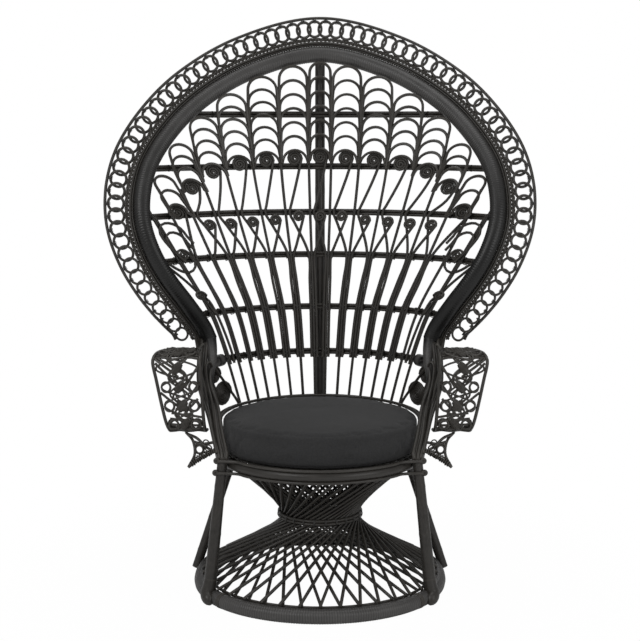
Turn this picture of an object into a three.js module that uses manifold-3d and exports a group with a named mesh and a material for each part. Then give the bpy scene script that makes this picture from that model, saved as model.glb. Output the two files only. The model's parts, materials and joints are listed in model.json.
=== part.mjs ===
// A peacock chair: an hourglass base of crossed canes, a round seat with a loose cushion,
// a bent fan back with scrolls and scallops, a wrapped arch with a ring border, and rolled arms.
// Millimetres, +Z up, the sitter looks along -Y. The floor is at zero height.
import * as THREE from "three";
import { mergeVertices } from "three/addons/utils/BufferGeometryUtils.js";
import Module from "manifold-3d";

const wasm = await Module();
wasm.setup();

// Clearance left between pieces that touch in the real chair.
const gap = 0.3;
const full = Math.PI * 2;
const degree = Math.PI / 180;

// Sizes of the canes and poles.
const fineCane = 7.4;
const spokeShare = 0.84;
const fretCane = 8;
const latticeCane = 8.6;
const hoopCane = 8;
const rimCane = 8.4;
const legThick = 28;
const poleThick = 25;
const railTall = 17;
const railDeep = 9;

// The base: a wrapped ring on the floor, a tight waist, and the seat above it.
const baseRingRadius = 328;
const baseRingThick = 38;
const waistHeight = 190;
const waistHoopRadius = 104;
const canesPerFamily = 40;
// The inner family lies this far inside the outer one at the ring, the waist and the seat. It
// starts lower down, and turns less on its way from the ring to the waist.
const innerFamilyReach = [19, 14, 21];
const innerFamilyDrop = 14;
const innerFamilyTwist = 0.9;
// The canes crowd together at the waist, so they are drawn thinner there.
const waistPinch = 0.7;

// The seat.
const seatRingRadius = 262;
const seatRingThick = 26;
const seatRingHeight = 351;
const seatHoopWide = 10;
const seatHoopTall = 14;
const deckThick = 6;
const cushionInset = 7;
const cushionSide = 88;
const cushionCrown = 20;

// The back. Rails are listed from the top one down, with the bend radius of the fan at each.
const crownHeight = 1393;
const crownDepth = 330;
const crownBend = 680;
const railHeights = [1229, 1087, 961, 844, 699, 574];
const railBends = [658, 624, 559, 477, 367, 308];
const firstSpokeAngle = 2.8 * degree;
const spokeStep = 7 * degree;
const spokesPerSide = 8;

// The arch, from its crown down one side to the neck where the wrapping ends.
const archWide = 44;
const archDeep = 34;
const archHalfWidth = 465;
const archSide = [
  [0, 1], [0.404, 0.966], [0.692, 0.908], [0.856, 0.851], [0.966, 0.788], [1, 0.731],
  [0.991, 0.681], [0.938, 0.628], [0.86, 0.579], [0.753, 0.526], [0.665, 0.478], [0.637, 0.455],
];

// The border outside the arch: a bead and braid, linked rings, and a rim, by their distance
// from the middle of the wrapped arch.
const braidOuter = 44;
const ringReach = 67;
const ringRadius = 23;
const ringThick = 7;
const ringPitch = 33;
const rimReach = 99.5;
const borderPinch = 0.26;
const pinchShare = 0.2;
const levelShare = 0.06;
const braidDeep = 9;
const borderSteps = 44;
const borderSamples = 240;
const borderGap = 1.8;

// Scrolls and scallops of the back.
const bigScroll = 41;
const smallScroll = 32;
const bigScrollHeights = [1117, 1116, 1108, 1092, 1072, 1039, 977];
const smallScrollHeights = [950, 950, 940, 936, 933, 932];
const scallopCounts = [7, 7, 7, 6, 5, 4, 3];
const scallopOverScroll = 25;
// The first and last column of each bound group of scallops.
const scallopGroups = [[1, 2], [3, 5], [6, 8], [9, 11], [12, 13]];

// The posts and legs. Turns are measured round the seat from the photograph's left side.
const frontLegTurn = 30 * degree;
const frontFootTurn = 32 * degree;
const frontFootSwell = 1.14;
const rearLegTurn = 30 * degree;
const rearFootTurn = 20.5 * degree;
const rearFootStand = 45;
const bundleWide = 42;
const bundleDeep = 13;
// How far the bundle bows outward, by its share of the way down.
const bundleBows = [[0.38, 21], [0.6, 9], [0.83, 6]];
const bundleTaper = 0.68;

// Places on the arms are given by their distance out, as a share of the neck's, their depth, as a
// share of the seat ring's radius, and their height, as a share of the rise from seat to neck.
// Each row of the roll runs from the arch forward, over the front and down, and gives the outer
// edge, the inner edge, the depth and the height.
const armRail = 9;
const armRollShares = [
  [1.3268, 1.1141, 0.374, 0.9766],
  [1.3977, 1.0364, -0.2519, 0.9562],
  [1.4011, 1.0331, -0.3511, 0.8821],
  [1.3268, 0.9993, -0.3511, 0.3113],
  [1.2998, 0.9926, -0.2901, 0.2335],
  [1.2829, 0.9858, -0.1679, 0.215],
];
const armRows = 8;
// The tail below the arm, from the roll to its tip and back to the front leg.
const tailEdgeShares = [
  [1.1681, -0.1908, 0.1905],
  [1.0938, -0.3664, 0.1408],
  [1.077, -0.4275, 0.0296],
  [1.131, -0.4504, -0.0889],
];
const tailFootShares = [[1.131, -0.4504, -0.0889], [1.0229, -0.4656, 0.0074], [0.895, -0.5191, 0.0815]];
const tailBraceShares = [[1.0938, -0.3664, 0.1408], [1.0128, -0.4046, 0.126], [0.92, -0.4427, 0.1482]];

// Scrolls on the inner sides, in the same shares, with their sizes.
const sideScrollTurn = 30 * degree;
const sideScrollRoot = 0.12;
const sideScrollShares = [[0.9487, 0.313, 0.6597], [0.8845, 0.4198, 0.4633]];
const sideScrollSizes = [39, 58];

const seatRingTop = seatRingHeight + seatRingThick / 2;
const cushionRadius = seatRingRadius - cushionInset;
const deckTop = seatRingTop + gap * 4;
const seatHoopHeight = deckTop - deckThick - gap - seatHoopTall / 2;
const seatHoopRadius = seatRingRadius - (seatRingThick + seatHoopWide) / 2 - gap * 2;
const rearFootRadius = baseRingRadius + rearFootStand;
const waistCaneRadius = waistHoopRadius - (hoopCane + latticeCane * waistPinch) / 2 - gap * 3;

// Colours and surface of each kind of piece.
const looks = {
  cane: { color: 0x2b2724, roughness: 0.5, metalness: 0 },
  pole: { color: 0x2e2a26, roughness: 0.46, metalness: 0 },
  wrap: { color: 0x262422, roughness: 0.42, metalness: 0 },
  weave: { color: 0x211f1d, roughness: 0.6, metalness: 0 },
  cloth: { color: 0x3c3c3d, roughness: 0.95, metalness: 0 },
};

const chair = new THREE.Group();
chair.name = "peacock_chair";

function addPiece(name, look, geometry) {
  const mesh = new THREE.Mesh(geometry, new THREE.MeshStandardMaterial(looks[look]));
  mesh.name = name;
  mesh.material.name = look;
  chair.add(mesh);
  return mesh;
}

// Geometry helpers.

function bare(geometry) {
  const copy = geometry.clone();
  copy.deleteAttribute("normal");
  copy.deleteAttribute("uv");
  return mergeVertices(copy, 0.001);
}

function toSolid(geometry) {
  const clean = bare(geometry);
  const mesh = new wasm.Mesh({
    numProp: 3,
    vertProperties: Float32Array.from(clean.getAttribute("position").array),
    triVerts: Uint32Array.from(clean.index.array),
  });
  mesh.merge();
  return new wasm.Manifold(mesh);
}

function fromSolid(solid) {
  const mesh = solid.getMesh();
  const geometry = new THREE.BufferGeometry();
  geometry.setAttribute("position", new THREE.BufferAttribute(Float32Array.from(mesh.vertProperties), 3));
  geometry.setIndex(new THREE.BufferAttribute(Uint32Array.from(mesh.triVerts), 1));
  geometry.computeVertexNormals();
  return geometry;
}

function fuse(geometries) {
  let solid = toSolid(geometries[0]);
  for (const geometry of geometries.slice(1)) {
    solid = solid.add(toSolid(geometry));
  }
  return fromSolid(solid);
}

function cut(geometry, ...cutters) {
  let solid = toSolid(geometry);
  for (const cutter of cutters) {
    solid = solid.subtract(toSolid(cutter));
  }
  return fromSolid(solid);
}

function mirrored(geometry) {
  const copy = bare(geometry);
  const place = copy.getAttribute("position");
  for (let i = 0; i < place.count; i += 1) {
    place.setX(i, -place.getX(i));
  }
  const order = copy.index.array;
  for (let i = 0; i < order.length; i += 3) {
    const held = order[i];
    order[i] = order[i + 1];
    order[i + 1] = held;
  }
  copy.computeVertexNormals();
  return copy;
}

// A round or oval outline for a pole, as points across and through it.
function roundSection(sides, wide, deep = wide) {
  const section = [];
  for (let i = 0; i < sides; i += 1) {
    const turn = (full * (i + 0.5)) / sides;
    section.push([(Math.cos(turn) * wide) / 2, (Math.sin(turn) * deep) / 2]);
  }
  return section;
}

// How much narrower a faceted pole is across its flat sides than across its corners.
function flatShare(sides) {
  return Math.cos(Math.PI / sides);
}

// An oval outline with corners at both ends of its long axis.
function ovalSection(wide, deep) {
  const across = wide / 2;
  const through = deep / 2;
  return [
    [across, 0], [across / 2, through], [-across / 2, through],
    [-across, 0], [-across / 2, -through], [across / 2, -through],
  ];
}

function boxSection(wide, deep = wide) {
  return [[wide / 2, deep / 2], [-wide / 2, deep / 2], [-wide / 2, -deep / 2], [wide / 2, -deep / 2]];
}

// Four canes lying side by side, as one outline.
function bundleSection(canes, wide, deep) {
  const half = deep / 2;
  const valley = half * 0.55;
  const pitch = (wide - deep) / (canes - 1);
  const upper = [];
  for (let i = 0; i < canes; i += 1) {
    const middle = -wide / 2 + half + i * pitch;
    if (i > 0) {
      upper.push([middle - pitch / 2, valley]);
    }
    upper.push([middle, half]);
  }
  const lower = upper.map(([across, through]) => [across, -through]);
  return [[wide / 2, 0], ...upper.reverse(), [-wide / 2, 0], ...lower];
}

// Carries an outline along a line of points. Its depth keeps to the guide direction.
function sweep(points, section, guide = null, closed = false, scales = null) {
  const count = points.length;
  const lift = guide ?? steadyGuide(points, closed);
  const corners = [];
  for (let i = 0; i < count; i += 1) {
    const before = closed ? points[(i + count - 1) % count] : points[Math.max(i - 1, 0)];
    const after = closed ? points[(i + 1) % count] : points[Math.min(i + 1, count - 1)];
    const along = after.clone().sub(before).normalize();
    const through = lift.clone().addScaledVector(along, -lift.dot(along)).normalize();
    const across = along.clone().cross(through);
    const scale = scales ? scales[i] : 1;
    for (const [a, b] of section) {
      corners.push(points[i].clone().addScaledVector(across, a * scale).addScaledVector(through, b * scale));
    }
  }
  const sides = section.length;
  const order = [];
  const spans = closed ? count : count - 1;
  for (let i = 0; i < spans; i += 1) {
    const next = (i + 1) % count;
    for (let k = 0; k < sides; k += 1) {
      const m = (k + 1) % sides;
      const low = i * sides;
      const high = next * sides;
      order.push(low + k, high + m, low + m, low + k, high + k, high + m);
    }
  }
  if (!closed) {
    const flat = THREE.ShapeUtils.triangulateShape(section.map(([a, b]) => new THREE.Vector2(a, b)), []);
    const last = (count - 1) * sides;
    for (const [a, b, c] of flat) {
      order.push(a, b, c, last + a, last + c, last + b);
    }
  }
  const geometry = new THREE.BufferGeometry();
  geometry.setAttribute("position", new THREE.Float32BufferAttribute(corners.flatMap((p) => p.toArray()), 3));
  geometry.setIndex(order);
  return outward(geometry);
}

// Turns a closed surface so that its faces look outward.
function outward(geometry) {
  const place = geometry.getAttribute("position");
  const order = geometry.index.array;
  const [a, b, c] = [new THREE.Vector3(), new THREE.Vector3(), new THREE.Vector3()];
  let volume = 0;
  for (let i = 0; i < order.length; i += 3) {
    a.fromBufferAttribute(place, order[i]);
    b.fromBufferAttribute(place, order[i + 1]);
    c.fromBufferAttribute(place, order[i + 2]);
    volume += a.dot(b.cross(c));
  }
  if (volume < 0) {
    for (let i = 0; i < order.length; i += 3) {
      const held = order[i];
      order[i] = order[i + 1];
      order[i + 1] = held;
    }
  }
  geometry.computeVertexNormals();
  return geometry;
}

// The world direction that a line of points runs least along.
function steadyGuide(points, closed) {
  if (closed) {
    return new THREE.Vector3(0, 0, 1);
  }
  const chord = points[points.length - 1].clone().sub(points[0]).normalize();
  return Math.abs(chord.y) < 0.8 ? new THREE.Vector3(0, 1, 0) : new THREE.Vector3(0, 0, 1);
}

function cane(points, thick, sides = 4) {
  return sweep(points, roundSection(sides, thick));
}

function hoop(radius, height, section, count) {
  const points = [];
  for (let i = 0; i < count; i += 1) {
    points.push(polar(radius, (full * i) / count, height));
  }
  return sweep(points, section, null, true);
}

function polar(radius, turn, height) {
  return new THREE.Vector3(radius * Math.cos(turn), radius * Math.sin(turn), height);
}

// A flat sheet made of panels with holes, bent into place. Panels share their outline corners.
function bentPlate(panels, place, thick) {
  const corners = [];
  const known = new Map();
  const faces = [];
  const cornerOf = ([u, v]) => {
    const key = `${u.toFixed(3)} ${v.toFixed(3)}`;
    if (!known.has(key)) {
      known.set(key, corners.length);
      corners.push([u, v]);
    }
    return known.get(key);
  };
  for (const { outline, holes } of panels) {
    const flat = [outline, ...holes].flat();
    const toVectors = (list) => list.map(([u, v]) => new THREE.Vector2(u, v));
    for (const [a, b, c] of THREE.ShapeUtils.triangulateShape(toVectors(outline), holes.map(toVectors))) {
      const face = [cornerOf(flat[a]), cornerOf(flat[b]), cornerOf(flat[c])];
      const [p, q, r] = [flat[a], flat[b], flat[c]];
      const area = (q[0] - p[0]) * (r[1] - p[1]) - (q[1] - p[1]) * (r[0] - p[0]);
      faces.push(area < 0 ? [face[0], face[2], face[1]] : face);
    }
  }
  const edges = new Set();
  for (const [a, b, c] of faces) {
    edges.add(`${a} ${b}`).add(`${b} ${c}`).add(`${c} ${a}`);
  }
  const back = corners.length;
  const order = [];
  for (const [a, b, c] of faces) {
    order.push(a, b, c, back + a, back + c, back + b);
    for (const [from, to] of [[a, b], [b, c], [c, a]]) {
      if (!edges.has(`${to} ${from}`)) {
        order.push(back + from, back + to, to, back + from, to, from);
      }
    }
  }
  const places = [
    ...corners.map(([u, v]) => place(u, v, thick / 2)),
    ...corners.map(([u, v]) => place(u, v, -thick / 2)),
  ];
  const geometry = new THREE.BufferGeometry();
  geometry.setAttribute("position", new THREE.Float32BufferAttribute(places.flatMap((p) => p.toArray()), 3));
  geometry.setIndex(order);
  return outward(geometry);
}

// The bent fan. At every height it is an arc in plan, and each spoke keeps its angle.

const bendStations = [
  [seatRingTop, seatRingRadius + 2],
  ...railHeights.map((height, i) => [height, railBends[i]]).reverse(),
  [crownHeight, crownBend],
];

function bendAt(height) {
  return alongStations(bendStations, height);
}

function depthAt(height) {
  const share = (height - seatRingTop) / (crownHeight - seatRingTop);
  return seatRingRadius + (crownDepth - seatRingRadius) * share;
}

// A point on the fan. Lift moves it back, away from the sitter.
function onFan(turn, height, lift = 0) {
  const bend = bendAt(height);
  const out = bend + lift;
  return new THREE.Vector3(out * Math.sin(turn), depthAt(height) - bend + out * Math.cos(turn), height);
}

function spokeTurn(index) {
  const side = index < spokesPerSide ? -1 : 1;
  const step = side < 0 ? spokesPerSide - 1 - index : index - spokesPerSide;
  return side * (firstSpokeAngle + step * spokeStep);
}

// The spokes open a little at the lowest rail and close again at the seat.
const spreadStations = [
  [seatRingTop, 0.93],
  [railHeights[5], 1.07],
  [railHeights[4], 1.035],
  [railHeights[3], 1],
];

function alongStations(stations, height) {
  const last = stations.length - 2;
  let i = 0;
  while (i < last && height > stations[i + 1][0]) {
    i += 1;
  }
  const [[lowHeight, low], [highHeight, high]] = [stations[i], stations[i + 1]];
  const share = THREE.MathUtils.clamp((height - lowHeight) / (highHeight - lowHeight), 0, 1);
  return low + (high - low) * share;
}

function spokeTurnAt(index, height) {
  return spokeTurn(index) * alongStations(spreadStations, height);
}

function columnTurn(column) {
  return (spokeTurn(column) + spokeTurn(column + 1)) / 2;
}

// Depth order of the fan, from the sitter back: scallops and scrolls, spokes, rails, middle pole.
const scallopLift = -(fineCane * spokeShare + fretCane) / 2 - gap;
const railSag = crownBend * (1 - Math.cos(spokeStep / 2));
const railLift = (fineCane + railDeep * flatShare(6)) / 2 + gap * 6 + railSag;
const poleLift = railLift + (railDeep * flatShare(6) + poleThick * flatShare(8)) / 2 + gap;

// The arch and what follows it.

function archPoint(share, height, side) {
  const across = archHalfWidth * share;
  const bend = bendAt(height);
  const turn = Math.asin(THREE.MathUtils.clamp(across / bend, 0, 0.92));
  const behind = onFan(turn, height, railLift);
  return new THREE.Vector3(side * across, behind.y, height);
}

const archNodes = [
  ...archSide.slice(1).reverse().map(([wide, tall]) => archPoint(wide, tall * crownHeight, -1)),
  ...archSide.map(([wide, tall]) => archPoint(wide, tall * crownHeight, 1)),
];
const archCurve = new THREE.CatmullRomCurve3(archNodes, false, "centripetal");
const archSamples = archCurve.getSpacedPoints(borderSamples);
const neckHeight = archNodes[0].z;
const neckAcross = -archNodes[0].x;

// A place beside the seat on the left, from its shares of distance out, depth and height.
function besideSeat(out, depth, tall) {
  const height = THREE.MathUtils.lerp(seatRingTop, neckHeight, tall);
  return new THREE.Vector3(-neckAcross * out, seatRingRadius * depth, height);
}

// A point beside the arch, in the upright plane that faces the front. Outside the braid the
// border narrows towards its ends, and it ends level, so that it can stand on the arm.
function besideArch(share, reach, forward = 0) {
  const middle = archCurve.getPointAt(THREE.MathUtils.clamp(share, 0, 1));
  const along = archCurve.getTangentAt(THREE.MathUtils.clamp(share, 0, 1)).setY(0).normalize();
  const away = new THREE.Vector3(-along.z, 0, along.x);
  const fromEnd = Math.min(share, 1 - share);
  const nearEnd = Math.max(0, 1 - fromEnd / pinchShare);
  const out = reach - Math.max(0, reach - braidOuter) * borderPinch * nearEnd;
  const levelling = Math.max(0, 1 - fromEnd / levelShare);
  const slide = levelling > 0 ? (-away.z / along.z) * out * levelling : 0;
  return middle.addScaledVector(away, out).addScaledVector(along, slide).add(new THREE.Vector3(0, -forward, 0));
}

// The wrapped band, or the space that it needs when a gap is given.
function archBand(clear = 0) {
  const points = archCurve.getSpacedPoints(borderSteps);
  if (clear > 0) {
    const [first, second] = points;
    const [beforeLast, last] = points.slice(-2);
    points[0] = first.clone().add(first.clone().sub(second).setLength(clear));
    points[points.length - 1] = last.clone().add(last.clone().sub(beforeLast).setLength(clear));
  }
  const section = ovalSection(archWide + clear * 2, archDeep + clear * 2);
  return sweep(points, section, new THREE.Vector3(0, 1, 0));
}

// Distance to the arch or to the post below it, on whichever side the point lies.
function distanceToArch(point) {
  const onLeft = new THREE.Vector3(-Math.abs(point.x), point.y, point.z);
  const toArch = archSamples.map((sample) => sample.distanceTo(point));
  const toPost = postSamples.map((sample) => sample.distanceTo(onLeft));
  return Math.min(...toArch, ...toPost);
}

// How far along from the first point to the second a piece can run before it meets the arch.
function shareToArch(pointAt, reach) {
  const step = 1 / 300;
  let share = 0;
  while (share < 1 && distanceToArch(pointAt(share + step)) > reach) {
    share += step;
  }
  return share;
}

// The base.

// One family of base canes, with the hoop under the seat that its top ends are set into.
function latticeFamily(turnWay, lowTwist, reach, drop) {
  const low = baseRingRadius - hoopCane / 2 - reach[0];
  const waist = waistCaneRadius - reach[1];
  const top = seatHoopRadius - reach[2];
  const lowSweep = Math.acos(waist / low) * lowTwist;
  const topSweep = Math.acos(waist / top);
  const solids = [hoop(top, seatHoopHeight, boxSection(seatHoopWide, seatHoopTall), canesPerFamily / 2)];
  for (let i = 0; i < canesPerFamily; i += 1) {
    const start = (full * i) / canesPerFamily;
    const points = [
      polar(low, start - turnWay * lowSweep, baseRingThick + latticeCane / 2 - drop),
      polar(waist, start, waistHeight),
      polar(top, start + turnWay * topSweep, seatHoopHeight),
    ];
    solids.push(sweep(points, roundSection(3, latticeCane), null, false, [1, waistPinch, 1]));
  }
  return fuse(solids);
}

// The wrapped ring on the floor, or the space that it needs when a gap is given.
function ringOnFloor(clear = 0) {
  const section = roundSection(8, (baseRingThick + clear * 2) / flatShare(8));
  return hoop(baseRingRadius, baseRingThick / 2, section, 36);
}

function buildBase() {
  addPiece("base_ring", "wrap", ringOnFloor());
  addPiece("base_canes_outer", "cane", latticeFamily(1, 1, [0, 0, 0], 0));
  addPiece("base_canes_inner", "cane", latticeFamily(-1, innerFamilyTwist, innerFamilyReach, innerFamilyDrop));
  addPiece("waist_hoop", "cane", hoop(waistHoopRadius, waistHeight, roundSection(6, hoopCane, hoopCane * 2), 20));
}

// The seat: its ring, the two thin canes bound round the front legs, the deck and the cushion.

const frontLegRadius = seatRingRadius + (seatRingThick * flatShare(6) + legThick * flatShare(12)) / 2 + gap * 2;
const frontLegTop = polar(frontLegRadius, -Math.PI + frontLegTurn, seatRingTop + hoopCane);
const frontFoot = polar(baseRingRadius, -Math.PI + frontFootTurn, baseRingThick + gap * 6);

function binder(height) {
  const round = (legThick + hoopCane) / 2 + gap;
  const middle = frontFoot.clone().lerp(frontLegTop, (height - frontFoot.z) / (frontLegTop.z - frontFoot.z));
  const onRing = seatRingRadius + seatRingThick / 4 + gap * 4;
  const steps = 12;
  const points = [];
  for (const turn of [-0.95, -0.8, -0.65, -0.5]) {
    points.push(new THREE.Vector3(
      middle.x + round * Math.cos(turn * Math.PI),
      middle.y + round * Math.sin(turn * Math.PI),
      height,
    ));
  }
  const first = -Math.PI + frontLegTurn + 9 * degree;
  for (let i = 0; i <= steps; i += 1) {
    points.push(polar(onRing, first + ((-Math.PI - 2 * first) * i) / steps, height));
  }
  for (const point of points.slice(0, 4).reverse()) {
    points.push(new THREE.Vector3(-point.x, point.y, point.z));
  }
  return sweep(points, roundSection(4, hoopCane), new THREE.Vector3(0, 0, 1));
}

function lathe(profile, steps) {
  const geometry = new THREE.LatheGeometry(profile.map(([r, h]) => new THREE.Vector2(r, h)), steps);
  geometry.rotateX(Math.PI / 2);
  return outward(bare(geometry));
}

function buildSeat() {
  addPiece("seat_ring", "pole", hoop(seatRingRadius, seatRingHeight, roundSection(6, seatRingThick), 40));
  const rise = seatRingThick / 2 + hoopCane / 4;
  addPiece("seat_binder_upper", "cane", binder(seatRingHeight + rise));
  addPiece("seat_binder_lower", "cane", binder(seatRingHeight - rise));
  const deckRadius = seatRingRadius - seatRingThick / 2 - gap * 2;
  const low = deckTop - deckThick;
  addPiece("seat_deck", "weave", lathe([[0, low], [deckRadius, low], [deckRadius, deckTop], [0, deckTop]], 40));
}

function buildCushion() {
  const low = deckTop + gap;
  const high = low + cushionSide;
  const bottomEdge = cushionRadius * 0.95;
  const profile = [
    [0, low],
    [bottomEdge, low],
    [cushionRadius * 0.98, low + cushionSide * 0.14],
    [cushionRadius, low + cushionSide * 0.45],
    [cushionRadius * 0.995, low + cushionSide * 0.75],
    [cushionRadius * 0.965, high - cushionSide * 0.03],
    [cushionRadius * 0.94, high],
    [cushionRadius * 0.8, high + cushionCrown * 0.42],
    [cushionRadius * 0.5, high + cushionCrown * 0.84],
    [cushionRadius * 0.2, high + cushionCrown],
    [0, high + cushionCrown],
  ];
  addPiece("cushion", "cloth", lathe(profile, 32));
}

// Legs and posts, built on the left and mirrored.

function pair(name, look, geometry) {
  addPiece(`${name}_left`, look, geometry);
  addPiece(`${name}_right`, look, mirrored(geometry));
}

// A wide block with its top face at the given height, or its underside when it stands above.
function floorBlock(height = 0, above = false) {
  const block = new THREE.BoxGeometry(rearFootRadius * 3, rearFootRadius * 3, legThick * 2);
  block.translate(0, 0, above ? height + legThick : height - legThick);
  return block;
}

function buildLegs() {
  const taper = [1, frontFootSwell];
  pair("front_leg", "pole", sweep([frontLegTop, frontFoot], roundSection(8, legThick), null, false, taper));
  const rearTop = polar(seatRingRadius, Math.PI - rearLegTurn, seatRingHeight - seatRingThick / 2 - legThick / 12);
  const rearFoot = polar(rearFootRadius, Math.PI - rearFootTurn, 0);
  const below = rearFoot.clone().add(rearFoot.clone().sub(rearTop).setLength(legThick));
  pair("rear_leg", "pole", cut(sweep([rearTop, below], roundSection(8, legThick)), floorBlock()));
}

// The binding that holds each front leg down to the base ring.
function buildFootWraps() {
  const turns = [-1, -0.33, 0.33, 1].map((share) => -Math.PI + frontFootTurn + share * 4.2 * degree);
  const points = turns.map((turn) => polar(baseRingRadius, turn, baseRingThick / 2));
  const up = new THREE.Vector3(0, 0, 1);
  const shell = sweep(points, roundSection(8, (baseRingThick + hoopCane) / flatShare(8)), up);
  const below = frontFoot.clone().add(frontFoot.clone().sub(frontLegTop).setLength(legThick));
  const leg = sweep([below, frontLegTop], roundSection(8, legThick * frontFootSwell + gap * 4));
  const within = lathe([[0, -1], [baseRingRadius, -1], [baseRingRadius, legThick * 2], [0, legThick * 2]], 44);
  pair("foot_wrap", "wrap", cut(shell, ringOnFloor(gap), leg, within, floorBlock(), floorBlock(baseRingThick, true)));
}

const postCurve = makePostCurve();
const postSamples = postCurve.getSpacedPoints(60);

function makePostCurve() {
  const top = archNodes[0].clone();
  const lead = archNodes[1].clone().sub(archNodes[0]).normalize();
  top.addScaledVector(lead, bundleDeep / 2);
  const foot = frontLegTop.clone().add(new THREE.Vector3(0, 0, bundleDeep * 0.52));
  const bows = bundleBows.map(([share, bow]) => top.clone().lerp(foot, share).add(new THREE.Vector3(-bow, 0, 0)));
  return new THREE.CatmullRomCurve3([top, ...bows, foot], false, "centripetal");
}

// The bundle of canes of the left post, or the space that it needs when a gap is given.
function postBundle(clear = 0) {
  const count = 6;
  const points = postCurve.getSpacedPoints(count);
  const scales = points.map((_, i) => THREE.MathUtils.lerp(1, bundleTaper, i / count));
  const section = bundleSection(4, bundleWide + clear * 3, bundleDeep + clear * 3);
  return sweep(points, section, new THREE.Vector3(0, 1, 0), false, scales);
}

function buildPosts() {
  pair("front_post", "cane", cut(postBundle(), archBand(gap)));
}

// The fan of the back.

function fanCane(places) {
  const points = places.map(([turn, height, lift]) => onFan(turn, height, lift));
  const facing = places[places.length - 1][0];
  return sweep(points, boxSection(fineCane * spokeShare), new THREE.Vector3(Math.sin(facing), Math.cos(facing), 0));
}

// A wound scroll, as a disc that lies flat on the fan.
function scrollDisc(turn, height, size, lift) {
  const middle = onFan(turn, height, lift);
  const aside = onFan(turn + degree, height, lift).sub(middle);
  const above = onFan(turn, height + fineCane, lift).sub(middle);
  const through = aside.cross(above).setLength(fineCane / 2);
  const points = [middle.clone().sub(through), middle.clone().add(through)];
  return sweep(points, roundSection(6, size), new THREE.Vector3(0, 0, 1));
}

function columnRank(column) {
  return Math.abs(column - (spokesPerSide - 1));
}

function columnHalfTurn(column) {
  return (spokeTurn(column + 1) - spokeTurn(column)) / 2;
}

function scrollRows(column, heights) {
  return heights[columnRank(column)];
}

// Half the width of a scallop column.
function scallopHalf(column, height) {
  return columnHalfTurn(column) * (bendAt(height) + scallopLift);
}

// Heights of the scallop tops in a column, from the arch down to the scroll.
function scallopTops(column) {
  const count = scallopCounts[columnRank(column)];
  const last = scrollRows(column, bigScrollHeights) + scallopOverScroll;
  const half = scallopHalf(column, last);
  const clear = archWide / 2 + gap * 4;
  const topAt = (share) => THREE.MathUtils.lerp(last, crownHeight, share);
  const fits = (share) => {
    const spring = topAt(share) - half;
    return Math.min(...[0, 0.25, 0.5, 0.75, 1].map((part) => {
      const turn = part * Math.PI;
      const height = spring + half * Math.sin(turn);
      const across = (Math.cos(turn) * half) / (bendAt(height) + railLift);
      return distanceToArch(onFan(columnTurn(column) + across, height, railLift));
    })) > clear;
  };
  let low = 0;
  let high = 1;
  for (let i = 0; i < 20; i += 1) {
    const middle = (low + high) / 2;
    if (fits(middle)) {
      low = middle;
    } else {
      high = middle;
    }
  }
  const first = topAt(low);
  return Array.from({ length: count }, (_, i) => THREE.MathUtils.lerp(first, last, i / (count - 1)));
}

// The height at which a column of scallops springs, and the height of its feet.
function scallopReach(column) {
  const tops = scallopTops(column);
  return [scrollRows(column, bigScrollHeights) - bigScroll / 4, tops[0] - scallopHalf(column, tops[0])];
}

// One column of scallops, as a panel with a hole under each arc. Its edges are whole numbers,
// with a corner wherever the fan bends and where a neighbour starts or ends.
function scallopPanel(column, neighbours) {
  const tops = scallopTops(column);
  const rise = scallopHalf(column, tops[0]);
  const inner = 1 - fretCane / rise;
  const steps = 3;
  const across = (u) => column + (1 + u) / 2;
  const bow = (spring, size, tall, fromLeft) => Array.from({ length: steps + 1 }, (_, i) => {
    const turn = Math.PI * (fromLeft ? 1 - i / steps : i / steps);
    return [across(size * Math.cos(turn)), spring + tall * Math.sin(turn)];
  });
  const springs = tops.map((top) => top - rise);
  const last = springs.length - 1;
  const foot = scallopReach(column)[0];
  const cornersBeside = (neighbour) => [
    ...bendStations.map(([height]) => height),
    ...(neighbours.includes(neighbour) ? scallopReach(neighbour) : []),
  ].filter((height) => height > foot + gap && height < springs[0] - gap).sort((a, b) => a - b);
  const outline = [
    [across(-1), foot],
    ...cornersBeside(column - 1).map((height) => [across(-1), height]),
    ...bow(springs[0], 1, rise, true),
    ...cornersBeside(column + 1).reverse().map((height) => [across(1), height]),
    [across(1), foot],
    [across(inner), foot],
    ...bow(springs[last], inner, rise - fretCane, false),
    [across(-inner), foot],
  ].reverse();
  const holes = [];
  for (let i = 0; i < last; i += 1) {
    const shoulder = springs[i + 1] + rise * Math.sqrt(1 - inner * inner);
    const side = Math.max(springs[i], shoulder + gap);
    const over = bow(springs[i], inner, rise - fretCane, true).slice(1, -1);
    const under = bow(springs[i + 1], 1, rise, false).slice(1, -1);
    const [left, right] = [across(-inner), across(inner)];
    holes.push([[left, side], ...over, [right, side], [right, shoulder], ...under, [left, shoulder]]);
  }
  return { outline, holes };
}

// The spoke and the stems bound beside it below the fourth rail, as one strip.
function boundStems(index, left, right, stub) {
  const [fourth, fifth] = railHeights.slice(3);
  const across = fineCane * 0.9;
  const points = [fourth + railTall, fourth, fifth, stub].map((height) => {
    const aside = (across * (right - left)) / 2 / bendAt(height);
    return onFan(spokeTurnAt(index, height) + aside, height);
  });
  const turn = spokeTurn(index);
  const facing = new THREE.Vector3(Math.sin(turn), Math.cos(turn), 0);
  return sweep(points, boxSection(across * (1 + left + right), fineCane), facing);
}

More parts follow.
